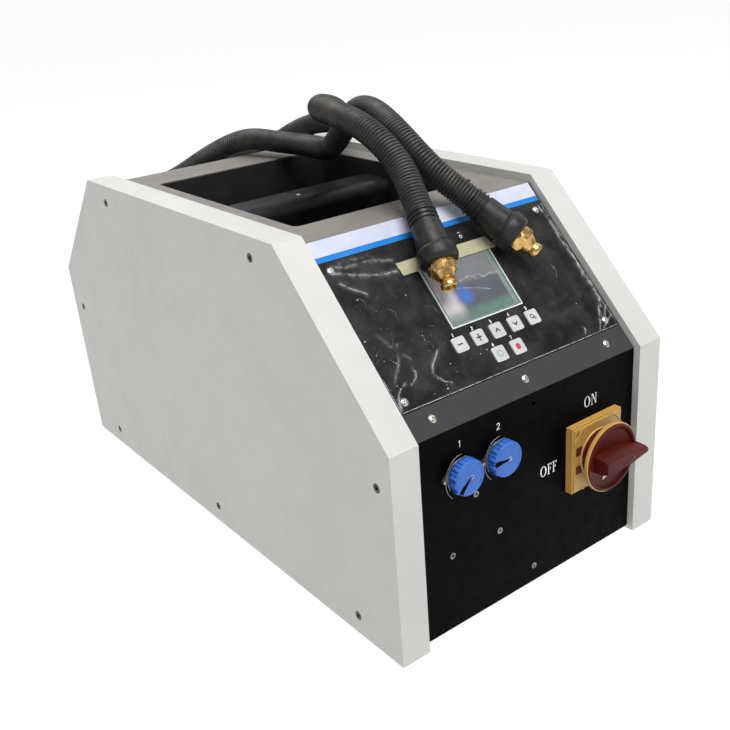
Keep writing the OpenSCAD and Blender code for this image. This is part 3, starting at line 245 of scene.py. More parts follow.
# Colour, shade, peel in mm, its depth in mm, roughness, edge colour and gloss
PAINTS = {
    "cheek_paint": ((0.54, 0.54, 0.515), (0.52, 0.52, 0.495), 1.3, 0.03, 0.45, (0.68, 0.68, 0.67)),
    "black_paint": ((0.014, 0.014, 0.0145), (0.019, 0.019, 0.02), 0.8, 0.05, 0.48, (0.05, 0.05, 0.052), 0.35),
    "black_front": ((0.0008, 0.0009, 0.001), (0.0014, 0.0015, 0.0016), 0.8, 0.03, 0.5, (0.02, 0.02, 0.021),
                    0.03),
    "bar_paint": ((0.004, 0.004, 0.0042), (0.008, 0.008, 0.0084), 0.8, 0.03, 0.36, (0.05, 0.05, 0.052), 0.3),
    # cover_paint: the cover's own dark grey paint, lightened to grey-beige by a painted reflection of the sky
    "cover_paint": ((0.165, 0.15, 0.135), (0.2, 0.184, 0.168), 0.7, 0.12, 0.55, (0.3, 0.285, 0.27)),
}
# Colour, roughness, shade, grain in mm, its depth in mm, edge colour and gloss
PLASTICS = {
    "white_print": ((0.82, 0.83, 0.83), 0.5, (0.72, 0.73, 0.73), 0.3, 0.006),
    "key_plastic": ((0.50, 0.51, 0.50), 0.42, (0.44, 0.45, 0.45), 0.5, 0.01, (0.78, 0.78, 0.77)),
    "icon_ink": ((0.02, 0.02, 0.021), 0.5, (0.03, 0.03, 0.03)),
    "icon_green": ((0.16, 0.36, 0.24), 0.5, (0.2, 0.4, 0.28)),
    "icon_red": ((0.42, 0.012, 0.04), 0.45, (0.5, 0.03, 0.06)),
    "yellow_plastic": ((0.52, 0.30, 0.07), 0.4, (0.44, 0.25, 0.055), 0.7, 0.02, (0.68, 0.46, 0.16)),
    "red_plastic": ((0.082, 0.0075, 0.004), 0.42, (0.055, 0.005, 0.003), 0.7, 0.02, (0.17, 0.03, 0.018),
                    0.16),
    "window_red": ((0.13, 0.022, 0.018), 0.35, (0.09, 0.014, 0.012), 0.5, 0.01),
    "dark_plastic": ((0.025, 0.025, 0.027), 0.5, (0.035, 0.035, 0.037), 0.6, 0.02),
    "socket_plastic": ((0.032, 0.125, 0.47), 0.4, (0.04, 0.15, 0.54), 0.6, 0.015, (0.14, 0.3, 0.72), 0.35),
    "module_plastic": ((0.68, 0.66, 0.58), 0.5, (0.6, 0.58, 0.5)),
    "ferrite": ((0.06, 0.05, 0.045), 0.6, (0.09, 0.075, 0.065), 0.9, 0.05),
}
# Colour, roughness, tarnish, stretch of the grain, grain in mm and its depth in mm
METALS = {
    "bright_steel": ((0.6, 0.59, 0.56), 0.3, (0.4, 0.385, 0.34)),
    "dark_steel": ((0.09, 0.09, 0.095), 0.4, (0.05, 0.05, 0.052)),
    "dull_steel": ((0.3, 0.29, 0.27), 0.42, (0.14, 0.135, 0.12)),
    "cold_aluminium": ((0.75, 0.76, 0.77), 0.35, (0.6, 0.61, 0.62), (1, 12, 12)),
    "capacitor_can": ((0.25, 0.36, 0.6), 0.35, (0.2, 0.3, 0.5), (12, 12, 1)),
    "brass": ((0.74, 0.48, 0.18), 0.26, (0.56, 0.34, 0.11), (1, 1, 1), 0.5, 0.0015),
}


def slope_rise(f):
    """How far up the slope a point lies from the bend, in metres."""
    return f.math("SUBTRACT", f.dot(SLOPE_UP), BEND @ SLOPE_UP)


def zinc_sheet():
    f = Finish("zinc_sheet", (0.52, 0.53, 0.55), 0.38, 0.9)
    f.tint((0.68, 0.69, 0.7), f.range(f.cells(7), 0.1, 0.7, 0, 0.8))
    f.rough(f.noise(6, 2), 0.3, 0.48)
    return f.bump(f.noise(0.5, 1), 0.01)


def overlay_film():
    f = Finish("overlay_film", (0.006, 0.006, 0.0062), 0.4, Specular_IOR_Level=0.16)
    f.tint((0.014, 0.014, 0.0145), f.range(f.noise(30, 3), 0.4, 0.65, 0, 0.8))
    f.rough(f.noise(12, 2), 0.28, 0.44)
    return f.bump(f.noise(0.5, 1), 0.004)


def header_film():
    """A pale strip whose lower border is a blue line."""
    f = Finish("header_film", (0.50, 0.52, 0.64), 0.32)
    f.tint((0.55, 0.57, 0.68), f.range(f.noise(25, 3), 0.4, 0.6))
    f.tint((0.010, 0.18, 0.56), f.math("LESS_THAN", slope_rise(f), LINE_TOP * MM))
    f.rough(f.noise(14, 2), 0.22, 0.38)
    return f.bump(f.noise(4, 2), 0.02)


def bezel_white():
    """A white border round the dark display, at its left, right and lower sides."""
    f = Finish("bezel_white", (0.15, 0.2, 0.185), 0.25)
    beside = f.math("SUBTRACT", f.math("ABSOLUTE", f.axis("X")), BEZEL_SIDE * MM)
    below = f.math("SUBTRACT", BEND @ SLOPE_UP + BEZEL_LOW * MM, f.dot(SLOPE_UP))
    f.tint((0.68, 0.74, 0.70), f.math("GREATER_THAN", f.math("MAXIMUM", beside, below), 0.0))
    return f.rough(f.noise(5, 2), 0.2, 0.35)


def display_glass():
    """A dark display behind glass: a paler top and a pale left side that are painted reflections, a painted
    blue glow, a green foot and a pale right strip.
    """
    f = Finish("display_glass", (0.085, 0.088, 0.105), 0.12, Specular_IOR_Level=0.6)
    across, rise = f.axis("X"), slope_rise(f)
    # Painted reflection: a paler band along the top of the glass
    f.tint((0.19, 0.195, 0.2), f.range(rise, 0.101, 0.108, 0, 0.7))
    # Painted reflection: a pale left side with a wavy edge, fainter low down
    wavy = f.math("ADD", across, f.times(f.noise(12, 2), 0.008))
    pale = f.times(f.range(wavy, -0.020, -0.008, 1, 0), f.range(rise, 0.074, 0.086, 0.25, 0.95))
    f.tint((0.56, 0.53, 0.55), pale)
    # Painted glow: blue, fading out round a point left of the middle
    over = f.math("POWER", f.times(f.math("SUBTRACT", rise, 0.0945), 0.8), 2)
    far = f.math("ADD", f.math("POWER", f.math("ADD", across, 0.0105), 2), over)
    far = f.math("ADD", far, f.times(f.math("SUBTRACT", f.noise(8, 3), 0.5), 0.0001))
    f.tint((0.05, 0.15, 0.5), f.range(far, -0.00002, 0.00011, 0.85, 0))
    foot = f.times(f.range(rise, 0.078, 0.086, 0.75, 0), f.range(across, -0.036, 0.012, 0.55, 1))
    f.tint((0.11, 0.23, 0.17), f.times(foot, f.range(f.noise(5, 3), 0.35, 0.65, 0.7, 1)))
    f.tint((0.17, 0.23, 0.21), f.math("GREATER_THAN", across, STRIP_LEFT * MM))
    return f.rough(f.noise(9, 3), 0.08, 0.2)


def paper_tape():
    f = Finish("paper_tape", (0.37, 0.345, 0.22), 0.66)
    f.tint((0.3, 0.29, 0.19), f.range(f.noise(7, 5, 0.6), 0.45, 0.62, 0, 0.8))
    fibres = f.noise(1.2, 3, place=f.stretched((1, 6, 6)))
    f.tint((0.56, 0.54, 0.38), f.range(fibres, 0.5, 0.7, 0, 0.6))
    return f.bump(f.noise(0.9, 4, place=f.stretched((1, 5, 5))), 0.06)


def board():
    """Green lacquer with lighter tracks."""
    f = Finish("board", (0.02, 0.13, 0.06), 0.4)
    f.tint((0.04, 0.22, 0.1), f.range(f.cells(3, feature="DISTANCE_TO_EDGE"), 0.03, 0.06, 1, 0))
    return f.rough(f.noise(3, 2), 0.3, 0.5)


def hose_rubber():
    f = Finish("hose_rubber", (0.011, 0.0105, 0.010), 0.46, Specular_IOR_Level=0.42)
    f.tint((0.03, 0.027, 0.024), f.range(f.noise(30, 4), 0.4, 0.68, 0, 0.9))
    # Pale dust and a painted highlight on the upper side
    dust_and_top_sheen(f, (0.17, 0.16, 0.145), 0.28)
    f.tint((0.2, 0.19, 0.17), f.range(f.cells(6), 0.0, 0.035, 0.55, 0))
    f.rough(f.noise(8, 3), 0.42, 0.62)
    return f.bump(f.noise(0.5, 2), 0.02)


def boot_rubber():
    f = Finish("boot_rubber", (0.010, 0.0098, 0.0098), 0.42, Specular_IOR_Level=0.34)
    f.tint((0.018, 0.017, 0.016), f.range(f.noise(14, 4), 0.4, 0.66, 0, 0.9))
    # Pale dust and a painted highlight on the upper side
    dust_and_top_sheen(f, (0.08, 0.076, 0.07), 0.13)
    f.tint((0.4, 0.39, 0.37), f.range(f.cells(6), 0.0, 0.035, 0.7, 0))
    f.tint((0.1, 0.1, 0.105), f.times(f.attribute("edge"), 0.6))
    f.rough(f.noise(7, 3), 0.34, 0.56)
    return f.bump(f.noise(1.1, 3), 0.03)


def clear_film():
    """Nearly clear, and milky where the film is creased, with a painted highlight along the creases."""
    f = Finish("clear_film", (0.62, 0.64, 0.66), 0.14)
    haze = f.range(f.noise(16, 4), 0.35, 0.72, 0.003, 0.018)
    # Milky creases that also carry a painted highlight
    milk_and_sheen = f.range(f.noise(5, 2), 0.36, 0.64, 0.05, 0.34)
    crease = f.times(f.attribute("crease"), milk_and_sheen)
    f.set(f.shader.inputs["Alpha"], f.math("ADD", haze, crease))
    return f.rough(f.noise(9, 2), 0.1, 0.22)


def film_white():
    f = Finish("film_white", (0.78, 0.79, 0.8), 0.3)
    f.set(f.shader.inputs["Alpha"], f.range(f.noise(5, 3), 0.38, 0.6, 0.12, 0.8))
    return f.rough(f.noise(2, 2), 0.2, 0.4)


def make_finishes():
    made = {name: powder_coat(name, *values) for name, values in PAINTS.items()}
    made.update({name: plastic(name, *values) for name, values in PLASTICS.items()})
    made.update({name: metal(name, *values) for name, values in METALS.items()})
    strip = made["black_front"]
    # Faces of the black front that look up the slope are painted lighter: a painted sheen
    strip.tint((0.05, 0.05, 0.05), strip.range(strip.facing(FACE_NORMAL), 0.85, 0.97, 0, 1))
    cover = made["cover_paint"]
    cover.tint((0.29, 0.27, 0.25), cover.range(cover.noise(0.5, 2), 0.55, 0.75, 0, 0.7))
    brass = made["brass"]
    brass.tint((0.92, 0.74, 0.42), brass.times(brass.attribute("edge"), 0.8))
    for make in (zinc_sheet, overlay_film, header_film, bezel_white, display_glass, paper_tape, board,
                 hose_rubber, boot_rubber, clear_film, film_white):
        made[make.__name__] = make()
    return made


FINISHES = make_finishes()


# Mesh helpers
def bridge(bm, rings, caps=False):
    """Joins each ring of points to the next with faces, and closes both ends where caps are wanted."""
    for a, b in zip(rings, rings[1:]):
        for k in range(len(a)):
            j = (k + 1) % len(a)
            bm.faces.new((a[k], a[j], b[j], b[k]))
    if caps:
        bm.faces.new(rings[0][::-1])
        bm.faces.new(rings[-1])


def add_prism(bm, outline, low, high, place):
    """A straight prism over an outline in millimetres, between two heights along the place's third axis."""
    bridge(bm, [[bm.verts.new(place @ mm(x, y, z)) for x, y in outline] for z in (low, high)], caps=True)


def add_lathe(bm, profile, place, steps=48, closed=False):
    """A turned solid round the place's third axis. The profile lists radius and height in millimetres."""
    rings = []
    for r, z in profile:
        if r == 0:
            rings.append([bm.verts.new(place @ mm(0, 0, z))])
        else:
            rings.append([bm.verts.new(place @ mm(r * math.cos(a), r * math.sin(a), z))
                          for a in (2 * math.pi * k / steps for k in range(steps))])
    pairs = list(zip(rings, rings[1:])) + ([(rings[-1], rings[0])] if closed else [])
    for a, b in pairs:
        for k in range(steps):
            j = (k + 1) % steps
            corners = [a[k % len(a)], a[j % len(a)], b[j % len(b)], b[k % len(b)]]
            corners = [c for i, c in enumerate(corners) if c not in corners[:i]]
            if len(corners) > 2:
                bm.faces.new(corners)


def arc(cx, cy, r, a0, a1, steps):
    """Points on an arc, in degrees."""
    return [(cx + r * math.cos(math.radians(a0 + (a1 - a0) * i / steps)),
             cy + r * math.sin(math.radians(a0 + (a1 - a0) * i / steps))) for i in range(steps + 1)]


def rounded_box(w, h, r, steps=6, cx=0.0, cy=0.0):
    """Outline of a rectangle with round corners."""
    out = []
    for sx, sy, a in ((1, 1, 0), (-1, 1, 90), (-1, -1, 180), (1, -1, 270)):
        out += arc(cx + sx * (w / 2 - r), cy + sy * (h / 2 - r), r, a, a + 90, steps)
    return out


def add_tube(bm, points, radius, sides):
    """A tube of points in metres. The radius is in millimetres, or a list with one for each point."""
    radii = radius if isinstance(radius, list) else [radius] * len(points)
    ends = points[:1] + points + points[-1:]
    ways = [(after - before).normalized() for before, after in zip(ends, ends[2:])]
    side = ways[0].orthogonal().normalized()
    rings = []
    for p, way, r in zip(points, ways, radii):
        side = (side - way * side.dot(way)).normalized()
        other = way.cross(side)
        rings.append([bm.verts.new(p + r * MM * (math.cos(a) * side + math.sin(a) * other))
                      for a in (2 * math.pi * k / sides for k in range(sides))])
    bridge(bm, rings, caps=True)


def add_sheet(bm, columns, rows, place):
    """A thin closed sheet. place makes the point at a share across, a share up and a face, 0 or 1."""
    low, high = [[[place(i / columns, j / rows, face) for i in range(columns + 1)] for j in range(rows + 1)]
                 for face in (0, 1)]
    for j in range(rows):
        for i in range(columns):
            bm.faces.new((high[j][i], high[j][i + 1], high[j + 1][i + 1], high[j + 1][i]))
            bm.faces.new((low[j][i], low[j + 1][i], low[j + 1][i + 1], low[j][i + 1]))
    rim = [(0, i) for i in range(columns)] + [(j, columns) for j in range(rows)]
    rim += [(rows, i) for i in range(columns, 0, -1)] + [(j, 0) for j in range(rows, 0, -1)]
    for (j, i), (n, m) in zip(rim, rim[1:] + rim[:1]):
        bm.faces.new((low[j][i], low[n][m], high[n][m], high[j][i]))


def ease(bm, width, segments=3, angle=25):
    """Bevels the sharp edges and marks the new rounding, where paint wears."""
    limit = math.radians(angle)
    edges = [e for e in bm.edges if e.is_manifold and abs(e.calc_face_angle_signed(0)) > limit]
    made = bmesh.ops.bevel(bm, geom=edges, offset=width * MM, segments=segments, profile=0.5,
                           affect="EDGES", clamp_overlap=True)
    layer = bm.verts.layers.float.get("edge") or bm.verts.layers.float.new("edge")
    rounding = set(made["faces"])
    for v in made["verts"]:
        if v.is_valid and all(f in rounding for f in v.link_faces):
            v[layer] = 1.0


def piece(name, bm, body, finish, replaces=(), crease=32):
    """Makes an object of a mesh, with its finish and body, and hides the nodes that it stands for."""
    bmesh.ops.recalc_face_normals(bm, faces=bm.faces)
    mesh = bpy.data.meshes.new(name)
    bm.to_mesh(mesh)
    bm.free()
    mesh.shade_smooth()
    mesh.set_sharp_from_angle(angle=math.radians(crease))
    obj = bpy.data.objects.new(name, mesh)
    bpy.context.scene.collection.objects.link(obj)
    mesh.materials.append(FINISHES[finish].material)
    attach(obj, body)
    if replaces:
        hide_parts(*replaces)
    return obj


BODY_OF = {n: b for b, members in frame["record"]["behaviour"]["bodies"].items() for n in members}


def soften(node, width, finish, segments=3):
    """Stands for a node with the same solid, whose flat faces are whole and whose edges are rounded."""
    bm = bmesh.new()
    bm.from_mesh(NODES[node].data)
    bmesh.ops.remove_doubles(bm, verts=bm.verts, dist=0.002 * MM)
    bmesh.ops.dissolve_limit(bm, angle_limit=math.radians(0.5), verts=bm.verts, edges=bm.edges)
    ease(bm, width, segments)
    obj = piece(node + "_skin", bm, BODY_OF[node], finish, replaces=[node])
    weighted = obj.modifiers.new("flat faces", "WEIGHTED_NORMAL")
    weighted.keep_sharp = True


def dress(node, finish):
    """Gives a CAD node its finish."""
    data = NODES[node].data
    data.materials.clear()
    data.materials.append(FINISHES[finish].material)
    data.polygons.foreach_set("material_index", [0] * len(data.polygons))


# Leads
HOSE_D = 23.0
RIB_PITCH = 3.0
RIB_DEPTH = 1.1
RIB_SHARES = [0.0, 0.62, 0.93, 1.0, 0.93, 0.62]
HOSE_SIDES = 28
SPLINE_STEPS = 40
# Points in millimetres that steer each lead from its gland to its boot
ROUTE_A = [(-90, 320, 75), (-90, 344, 75), (-90, 368, 75), (-89, 421, 91), (-72, 466, 157),
           (-52, 438, 243), (-36, 362, 269), (-12, 300, 272), (10, 236, 311), (36, 179, 338),
           (46, 138, 333), (62, 88, 333), (51, 35, 331), (25, -44, 398), (6, -116, 383),
           (11, -153, 352), (22, -168, 337), (33, -183, 322)]
ROUTE_B = [(90, 320, 75), (90, 344, 75), (90, 368, 75), (90, 418, 94), (93, 460, 166), (97, 426, 262),
           (101, 340, 293), (101, 271, 292), (110, 212, 323), (111, 168, 339), (112, 130, 346),
           (89, 64, 353), (57, 34, 379), (-18, -29, 393), (-20, -109, 390), (-11, -148, 357),
           (-16, -165, 340), (-21, -182, 323)]


def spline(route):
    """Points in metres along the smooth curve that a route steers."""
    p = [mm(*q) for q in route]
    p = [2 * p[0] - p[1]] + p + [2 * p[-1] - p[-2]]
    out = []
    for i in range(len(p) - 3):
        for k in range(SPLINE_STEPS + (i == len(p) - 4)):
            t = k / SPLINE_STEPS
            w = ((1 - t) ** 3, 3 * t ** 3 - 6 * t ** 2 + 4, -3 * t ** 3 + 3 * t ** 2 + 3 * t + 1, t ** 3)
            out.append(sum((wi / 6 * p[i + j] for j, wi in enumerate(w)), Vector()))
    return out


def length_of(points):
    return sum((b - a).length for a, b in zip(points, points[1:]))


def even(points, step):
    """The same line with points an even step apart, in metres."""
    total = length_of(points)
    count = max(2, round(total / step))
    out, run, i = [points[0].copy()], 0.0, 0
    for k in range(1, count):
        target = total * k / count
        while run + (points[i + 1] - points[i]).length < target:
            run += (points[i + 1] - points[i]).length
            i += 1
        piece_length = (points[i + 1] - points[i]).length
        out.append(points[i].lerp(points[i + 1], (target - run) / piece_length))
    return out + [points[-1].copy()]


def end_place(route):
    """Frame at a hose's end whose third axis runs along it, turned as the fitting on it is."""
    way = (mm(*route[-1]) - mm(*route[-2])).normalized()
    pitch, heading = math.acos(way.z), math.atan2(way.y, way.x)
    turn = Matrix.Rotation(heading, 4, "Z") @ Matrix.Rotation(pitch, 4, "Y")
    return Matrix.Translation(mm(*route[-1])) @ turn


def make_hose(name, node, route):
    """A corrugated rubber hose: each rib is a rounded crest between two narrow valleys."""
    per_rib = len(RIB_SHARES)
    line = spline(route)
    total = length_of(line)
    ribs = round(total / (RIB_PITCH * MM))
    points = even(line, total / (ribs * per_rib))
    radii = [HOSE_D / 2 - RIB_DEPTH * (1 - RIB_SHARES[i % per_rib]) for i in range(len(points))]
    bm = bmesh.new()
    add_tube(bm, points, radii, HOSE_SIDES)
    obj = piece(name, bm, "root", "hose_rubber", replaces=[node], crease=60)
    return obj, line, total


BOOT_STEPS = 64
SLEEVE_LOW, SLEEVE_HIGH = 14, 33
NIPPLE_R = 5.8
NUT_APOTHEM = 10.7
NUT_CORNERS = 72
BOOT_PROFILE = (
    [(8, 0), (11.6, 0), (12.5, 0.7), (12.5, 1.9), (11.2, 2.7), (11.2, 3.7), (12.5, 4.4), (12.5, 5.7),
     (11.2, 6.5), (11.2, 7.5), (12.5, 8.2), (12.5, 9.5), (11.2, 10.3), (11.2, 11.3), (12.5, 12), (12.7, 14),
     (13.0, 20), (13.5, 27), (13.95, 31.2), (14.0, 32.6), (13.75, 33.1), (13.8, 33.7), (14.6, 34.2),
     (15.6, 35.0), (16.2, 36.2), (16.5, 37.6), (16.5, 43.6), (16.2, 45.2), (15.3, 46.8), (14.2, 47.7),
     (13.2, 48), (11.7, 48), (11.7, 43.6), (8, 43.6)])


def make_boot(name, node, route):
    """A moulded rubber boot: bend relief rings, a long sleeve with soft folds and a thick collar."""
    bm = bmesh.new()
    place = end_place(route)
    add_lathe(bm, BOOT_PROFILE, place, BOOT_STEPS, closed=True)
    back = place.inverted()
    for v in bm.verts:
        p = back @ v.co
        z = p.z / MM
        if SLEEVE_LOW < z < SLEEVE_HIGH:
            sink = math.sin(math.pi * (z - SLEEVE_LOW) / (SLEEVE_HIGH - SLEEVE_LOW))
            lump = noise.noise(Vector((p.x * 90, p.y * 90, z * 0.05)) + Vector((3, 1, 7)))
            factor = 1 + 0.045 * lump * sink
            v.co = place @ Vector((p.x * factor, p.y * factor, p.z))
    ease(bm, 0.35, 2, 40)
    return piece(name, bm, "root", "boot_rubber", replaces=[node], crease=50)


def hexagon_at(angle, apothem):
    """Distance from the centre to a hexagon's side, at an angle in degrees from a corner."""
    return apothem / math.cos(math.radians((angle % 60) - 30))


def make_nut(name, node, body, route):
    """A hollow hexagon brass nut with turned chamfers, a neck behind it and a cone in front."""
    bm = bmesh.new()
    place = end_place(route)
    bore, corner = NIPPLE_R + 0.15, NUT_APOTHEM * 1.02
    rings = []
    for inside, cut, z in ((True, False, 48.3), (False, True, 48.3), (False, False, 49.7),
                           (False, False, 54.6), (False, True, 56.0), (True, False, 56.0)):
        ring = []
        for k in range(NUT_CORNERS):
            angle = 360 / NUT_CORNERS * k
            r = hexagon_at(angle, NUT_APOTHEM)
            r = bore if inside else min(r, corner) if cut else r
            a = math.radians(angle)
            ring.append(bm.verts.new(place @ mm(r * math.cos(a), r * math.sin(a), z)))
        rings.append(ring)
    bridge(bm, rings + rings[:1])
    neck = [(bore, 44.2), (11.2, 44.2), (11.2, 48.6), (bore, 48.6)]
    cone = [(bore, 55.4), (9.9, 55.4), (9.9, 56.4), (9.3, 57.4), (7.2, 61.4), (6.9, 62.6), (bore, 62.6)]
    for profile in (neck, cone):
        add_lathe(bm, profile, place, BOOT_STEPS, closed=True)
    return piece(name, bm, body, "brass", replaces=[node], crease=28)


def make_nipple(name, node, route):
    """A turned brass nipple with a rolled lip round its open mouth."""
    bm = bmesh.new()
    profile = [
        (3.3, 40), (NIPPLE_R, 40), (NIPPLE_R, 64.4), (6.2, 64.9), (6.6, 65.6), (6.75, 66.6), (6.75, 68.4),
        (6.5, 69.4), (6.0, 69.9), (5.3, 70), (4.8, 69.7), (4.5, 69.0), (4.4, 66.6), (4.2, 66.2), (3.3, 66)]
    add_lathe(bm, profile, end_place(route), BOOT_STEPS, closed=True)
    return piece(name, bm, BODY_OF[node], "brass", replaces=[node], crease=40)


def make_leads():
    for letter, route, sign in (("a", ROUTE_A, -1), ("b", ROUTE_B, 1)):
        hose, line, total = make_hose(f"hose_{letter}_ribbed", f"hose_{letter}", route)
        boot = make_boot(f"boot_{letter}_moulded", f"boot_{letter}", route)
        nut = make_nut(f"nut_{letter}_turned", f"brass_nut_{letter}", f"brass_nut_{letter}", route)
        nipple = make_nipple(f"nipple_{letter}_turned", f"nipple_{letter}", route)
        [tuple(p) for p in even(line, 0.006)]


# Raised lines, letters and numerals
RING = arc(0, 0, 1, 0, 360, 28)[:-1]


def ring(x, y, r):
    """Points round a circle in millimetres."""
    return [(x + r * c, y + r * s) for c, s in RING]


def bar(left, low, right, high):
    """Outline of an upright bar, in shares of a letter's height."""
    return [(left, low), (right, low), (right, high), (left, high)]


LETTERS = {
    "N": [bar(0.0, 0.955, 0.2, 1), bar(0.0, 0, 0.26, 0.045), bar(0.105, 0.04, 0.15, 0.96),
          [(0.13, 1), (0.27, 1), (0.66, 0), (0.6, 0)], bar(0.6, 0, 0.655, 0.96), bar(0.5, 0.955, 0.76, 1)],
    "F": [bar(0.09, 0.04, 0.2, 0.96), bar(0.0, 0, 0.3, 0.045), bar(0.0, 0.955, 0.5, 1),
          bar(0.46, 0.78, 0.5, 0.96), bar(0.19, 0.5, 0.38, 0.545), bar(0.35, 0.41, 0.385, 0.64)],
}
ADVANCE = {"O": 0.84, "N": 0.84, "F": 0.61}
NUMERALS = {
    "1": [(0.1, 0.8), (0.32, 1), (0.32, 0)],
    "2": [(0.02, 0.76), (0.1, 0.93), (0.3, 1), (0.5, 0.93), (0.58, 0.74), (0.5, 0.5), (0.25, 0.25), (0, 0),
          (0.6, 0)],
    "3": [(0.02, 0.9), (0.3, 1), (0.55, 0.85), (0.5, 0.6), (0.25, 0.52), (0.55, 0.42), (0.58, 0.15), (0.3, 0),
          (0, 0.1)],
    "4": [(0.45, 0), (0.45, 1), (0, 0.3), (0.62, 0.3)],
    "5": [(0.55, 1), (0.1, 1), (0.05, 0.57), (0.35, 0.62), (0.58, 0.35), (0.4, 0.03), (0, 0.06)],
    "6": [(0.5, 0.96), (0.2, 0.8), (0.03, 0.4), (0.15, 0.05), (0.4, 0), (0.58, 0.25), (0.45, 0.5),
          (0.2, 0.52), (0.05, 0.35)],
    "7": [(0, 1), (0.6, 1), (0.25, 0)],
}
PRINT_HIGH = 0.12


def add_stroke(bm, points, width, low, high, place, closed=False):
    """A raised line along points in millimetres. The width is a number or one for each point."""
    n = len(points)
    widths = width if isinstance(width, list) else [width] * n
    pts = [Vector(p) for p in points]
    rings = []
    for i, p in enumerate(pts):
        before = p - pts[i - 1] if closed or i else pts[1] - p
        after = pts[(i + 1) % n] - p if closed or i < n - 1 else before
        way = (before.normalized() + after.normalized()).normalized()
        side = Vector((-way.y, way.x)) * (widths[i] / 2 / max(0.5, way.dot(after.normalized())))
        rings.append([bm.verts.new(place @ mm(q.x, q.y, z))
                      for q, z in ((p + side, low), (p - side, low), (p - side, high), (p + side, high))])
    bridge(bm, rings + rings[:1] if closed else rings, caps=not closed)


def add_word(bm, word, height, x, y, place):
    """A word in upright serif letters, from its lower left corner."""
    for letter in word:
        if letter == "O":
            points = [(x + height * (0.36 + 0.3 * c), y + height * (0.5 + 0.475 * s)) for c, s in RING]
            widths = [height * (0.05 + 0.085 * c * c) for c, s in RING]
            add_stroke(bm, points, widths, 0.0, PRINT_HIGH, place, closed=True)
        else:
            for i, outline in enumerate(LETTERS[letter]):
                points = [(x + height * u, y + height * v) for u, v in outline]
                add_prism(bm, points, 0.0, PRINT_HIGH + 0.004 * i, place)
        x += height * ADVANCE[letter]


def add_numeral(bm, digit, height, x, y, place, low, high, weight=0.13):
    points = [(x + height * (u - 0.3), y + height * v) for u, v in NUMERALS[digit]]
    add_stroke(bm, points, height * weight, low, high, place)


WORD_HEIGHT = 9.8
# The ports' numbers, places across and the turns of their slits, and their height over the foot
PORTS = ((1, -79, 225), (2, -39, 180))
PORT_Z = 141


def make_lettering():
    """ON and OFF beside the switch and a numeral over each port."""
    bm = bmesh.new()
    add_word(bm, "ON", WORD_HEIGHT, 60.0, 146.0, ON_FRONT)
    add_word(bm, "OFF", WORD_HEIGHT, 7.6, 100.6, ON_FRONT)
    for number, x, turn in PORTS:
        add_numeral(bm, str(number), 5.0, x, PORT_Z + 22.5, ON_FRONT, 0.0, PRINT_HIGH)
    piece("front_lettering", bm, "root", "white_print", crease=20)


# Control face
KEYS = [("key_minus", -40, 57.1), ("key_plus", -20, 57.1), ("key_up", 0, 57.1), ("key_down", 20, 57.1),
        ("key_set", 40, 57.1), ("key_start", -10, 38.6), ("key_stop", 10, 38.6)]
KEY_LOW, KEY_TOP = -2.4, 1.3
KEY_WIDTH, KEY_CORNER = 12.8, 1.8


def make_icon(key, place):
    bm = bmesh.new()
    line, ink = 1.2, "icon_ink"
    low, high = -0.1, 0.05
    if key in ("key_minus", "key_plus"):
        add_stroke(bm, [(-2.6, 0), (2.6, 0)], line, low, high, place)
    if key == "key_plus":
        add_stroke(bm, [(0, -3.2), (0, 3.2)], line, low, high + 0.01, place)
    if key in ("key_up", "key_down"):
        flip = 1 if key == "key_up" else -1
        add_stroke(bm, [(-2.3, -1.3 * flip), (0, 1.3 * flip), (2.3, -1.3 * flip)], 1.3, low, high, place)
    if key == "key_set":
        add_stroke(bm, ring(-0.8, 0.5, 1.7), 0.8, low, high, place, closed=True)
        add_stroke(bm, ring(1.8, -1.5, 0.9), 0.7, low, high, place, closed=True)
    if key == "key_start":
        ink = "icon_green"
        add_stroke(bm, ring(0, 0, 2.5), 1.0, low, high, place, closed=True)
    if key == "key_stop":
        ink = "icon_red"
        add_prism(bm, [(2.4 * c, 2.7 * s) for c, s in RING], low, high, place)
    piece(key + "_icon", bm, BODY_OF[key], ink, crease=20)


def make_keys():
    """Rounded caps with their symbols, numbers over them, and a small lamp ring on the overlay."""
    bm = bmesh.new()
    print_low, print_high = 0.9, 1.16
    for number, (key, x, s) in enumerate(KEYS, 1):
        cap = bmesh.new()
        add_prism(cap, rounded_box(KEY_WIDTH, KEY_WIDTH, KEY_CORNER, 5, x, s), KEY_LOW, KEY_TOP, ON_SLOPE)
        ease(cap, 0.35, 3, 40)
        piece(key + "_cap", cap, BODY_OF[key], "key_plastic", replaces=[key])
        make_icon(key, at(ON_SLOPE, x, s, KEY_TOP))
        add_numeral(bm, str(number), 2.6, x - 2.0, s + 7.6, ON_SLOPE, print_low, print_high, 0.2)
    add_stroke(bm, ring(18, 143.2, 1.3), 0.55, print_low, print_high, ON_SLOPE, closed=True)
    add_stroke(bm, [(16.6, 147.0), (19.2, 147.0)], 0.5, print_low, print_high, ON_SLOPE)
    piece("overlay_print", bm, "root", "white_print", crease=20)


# Boots that lie on the film: hose end and nipple tip, across and up the slope
RESTS = (((33, 164), (66, 100)), ((-21, 166), (-36, 96)))
REST_REACH = 19
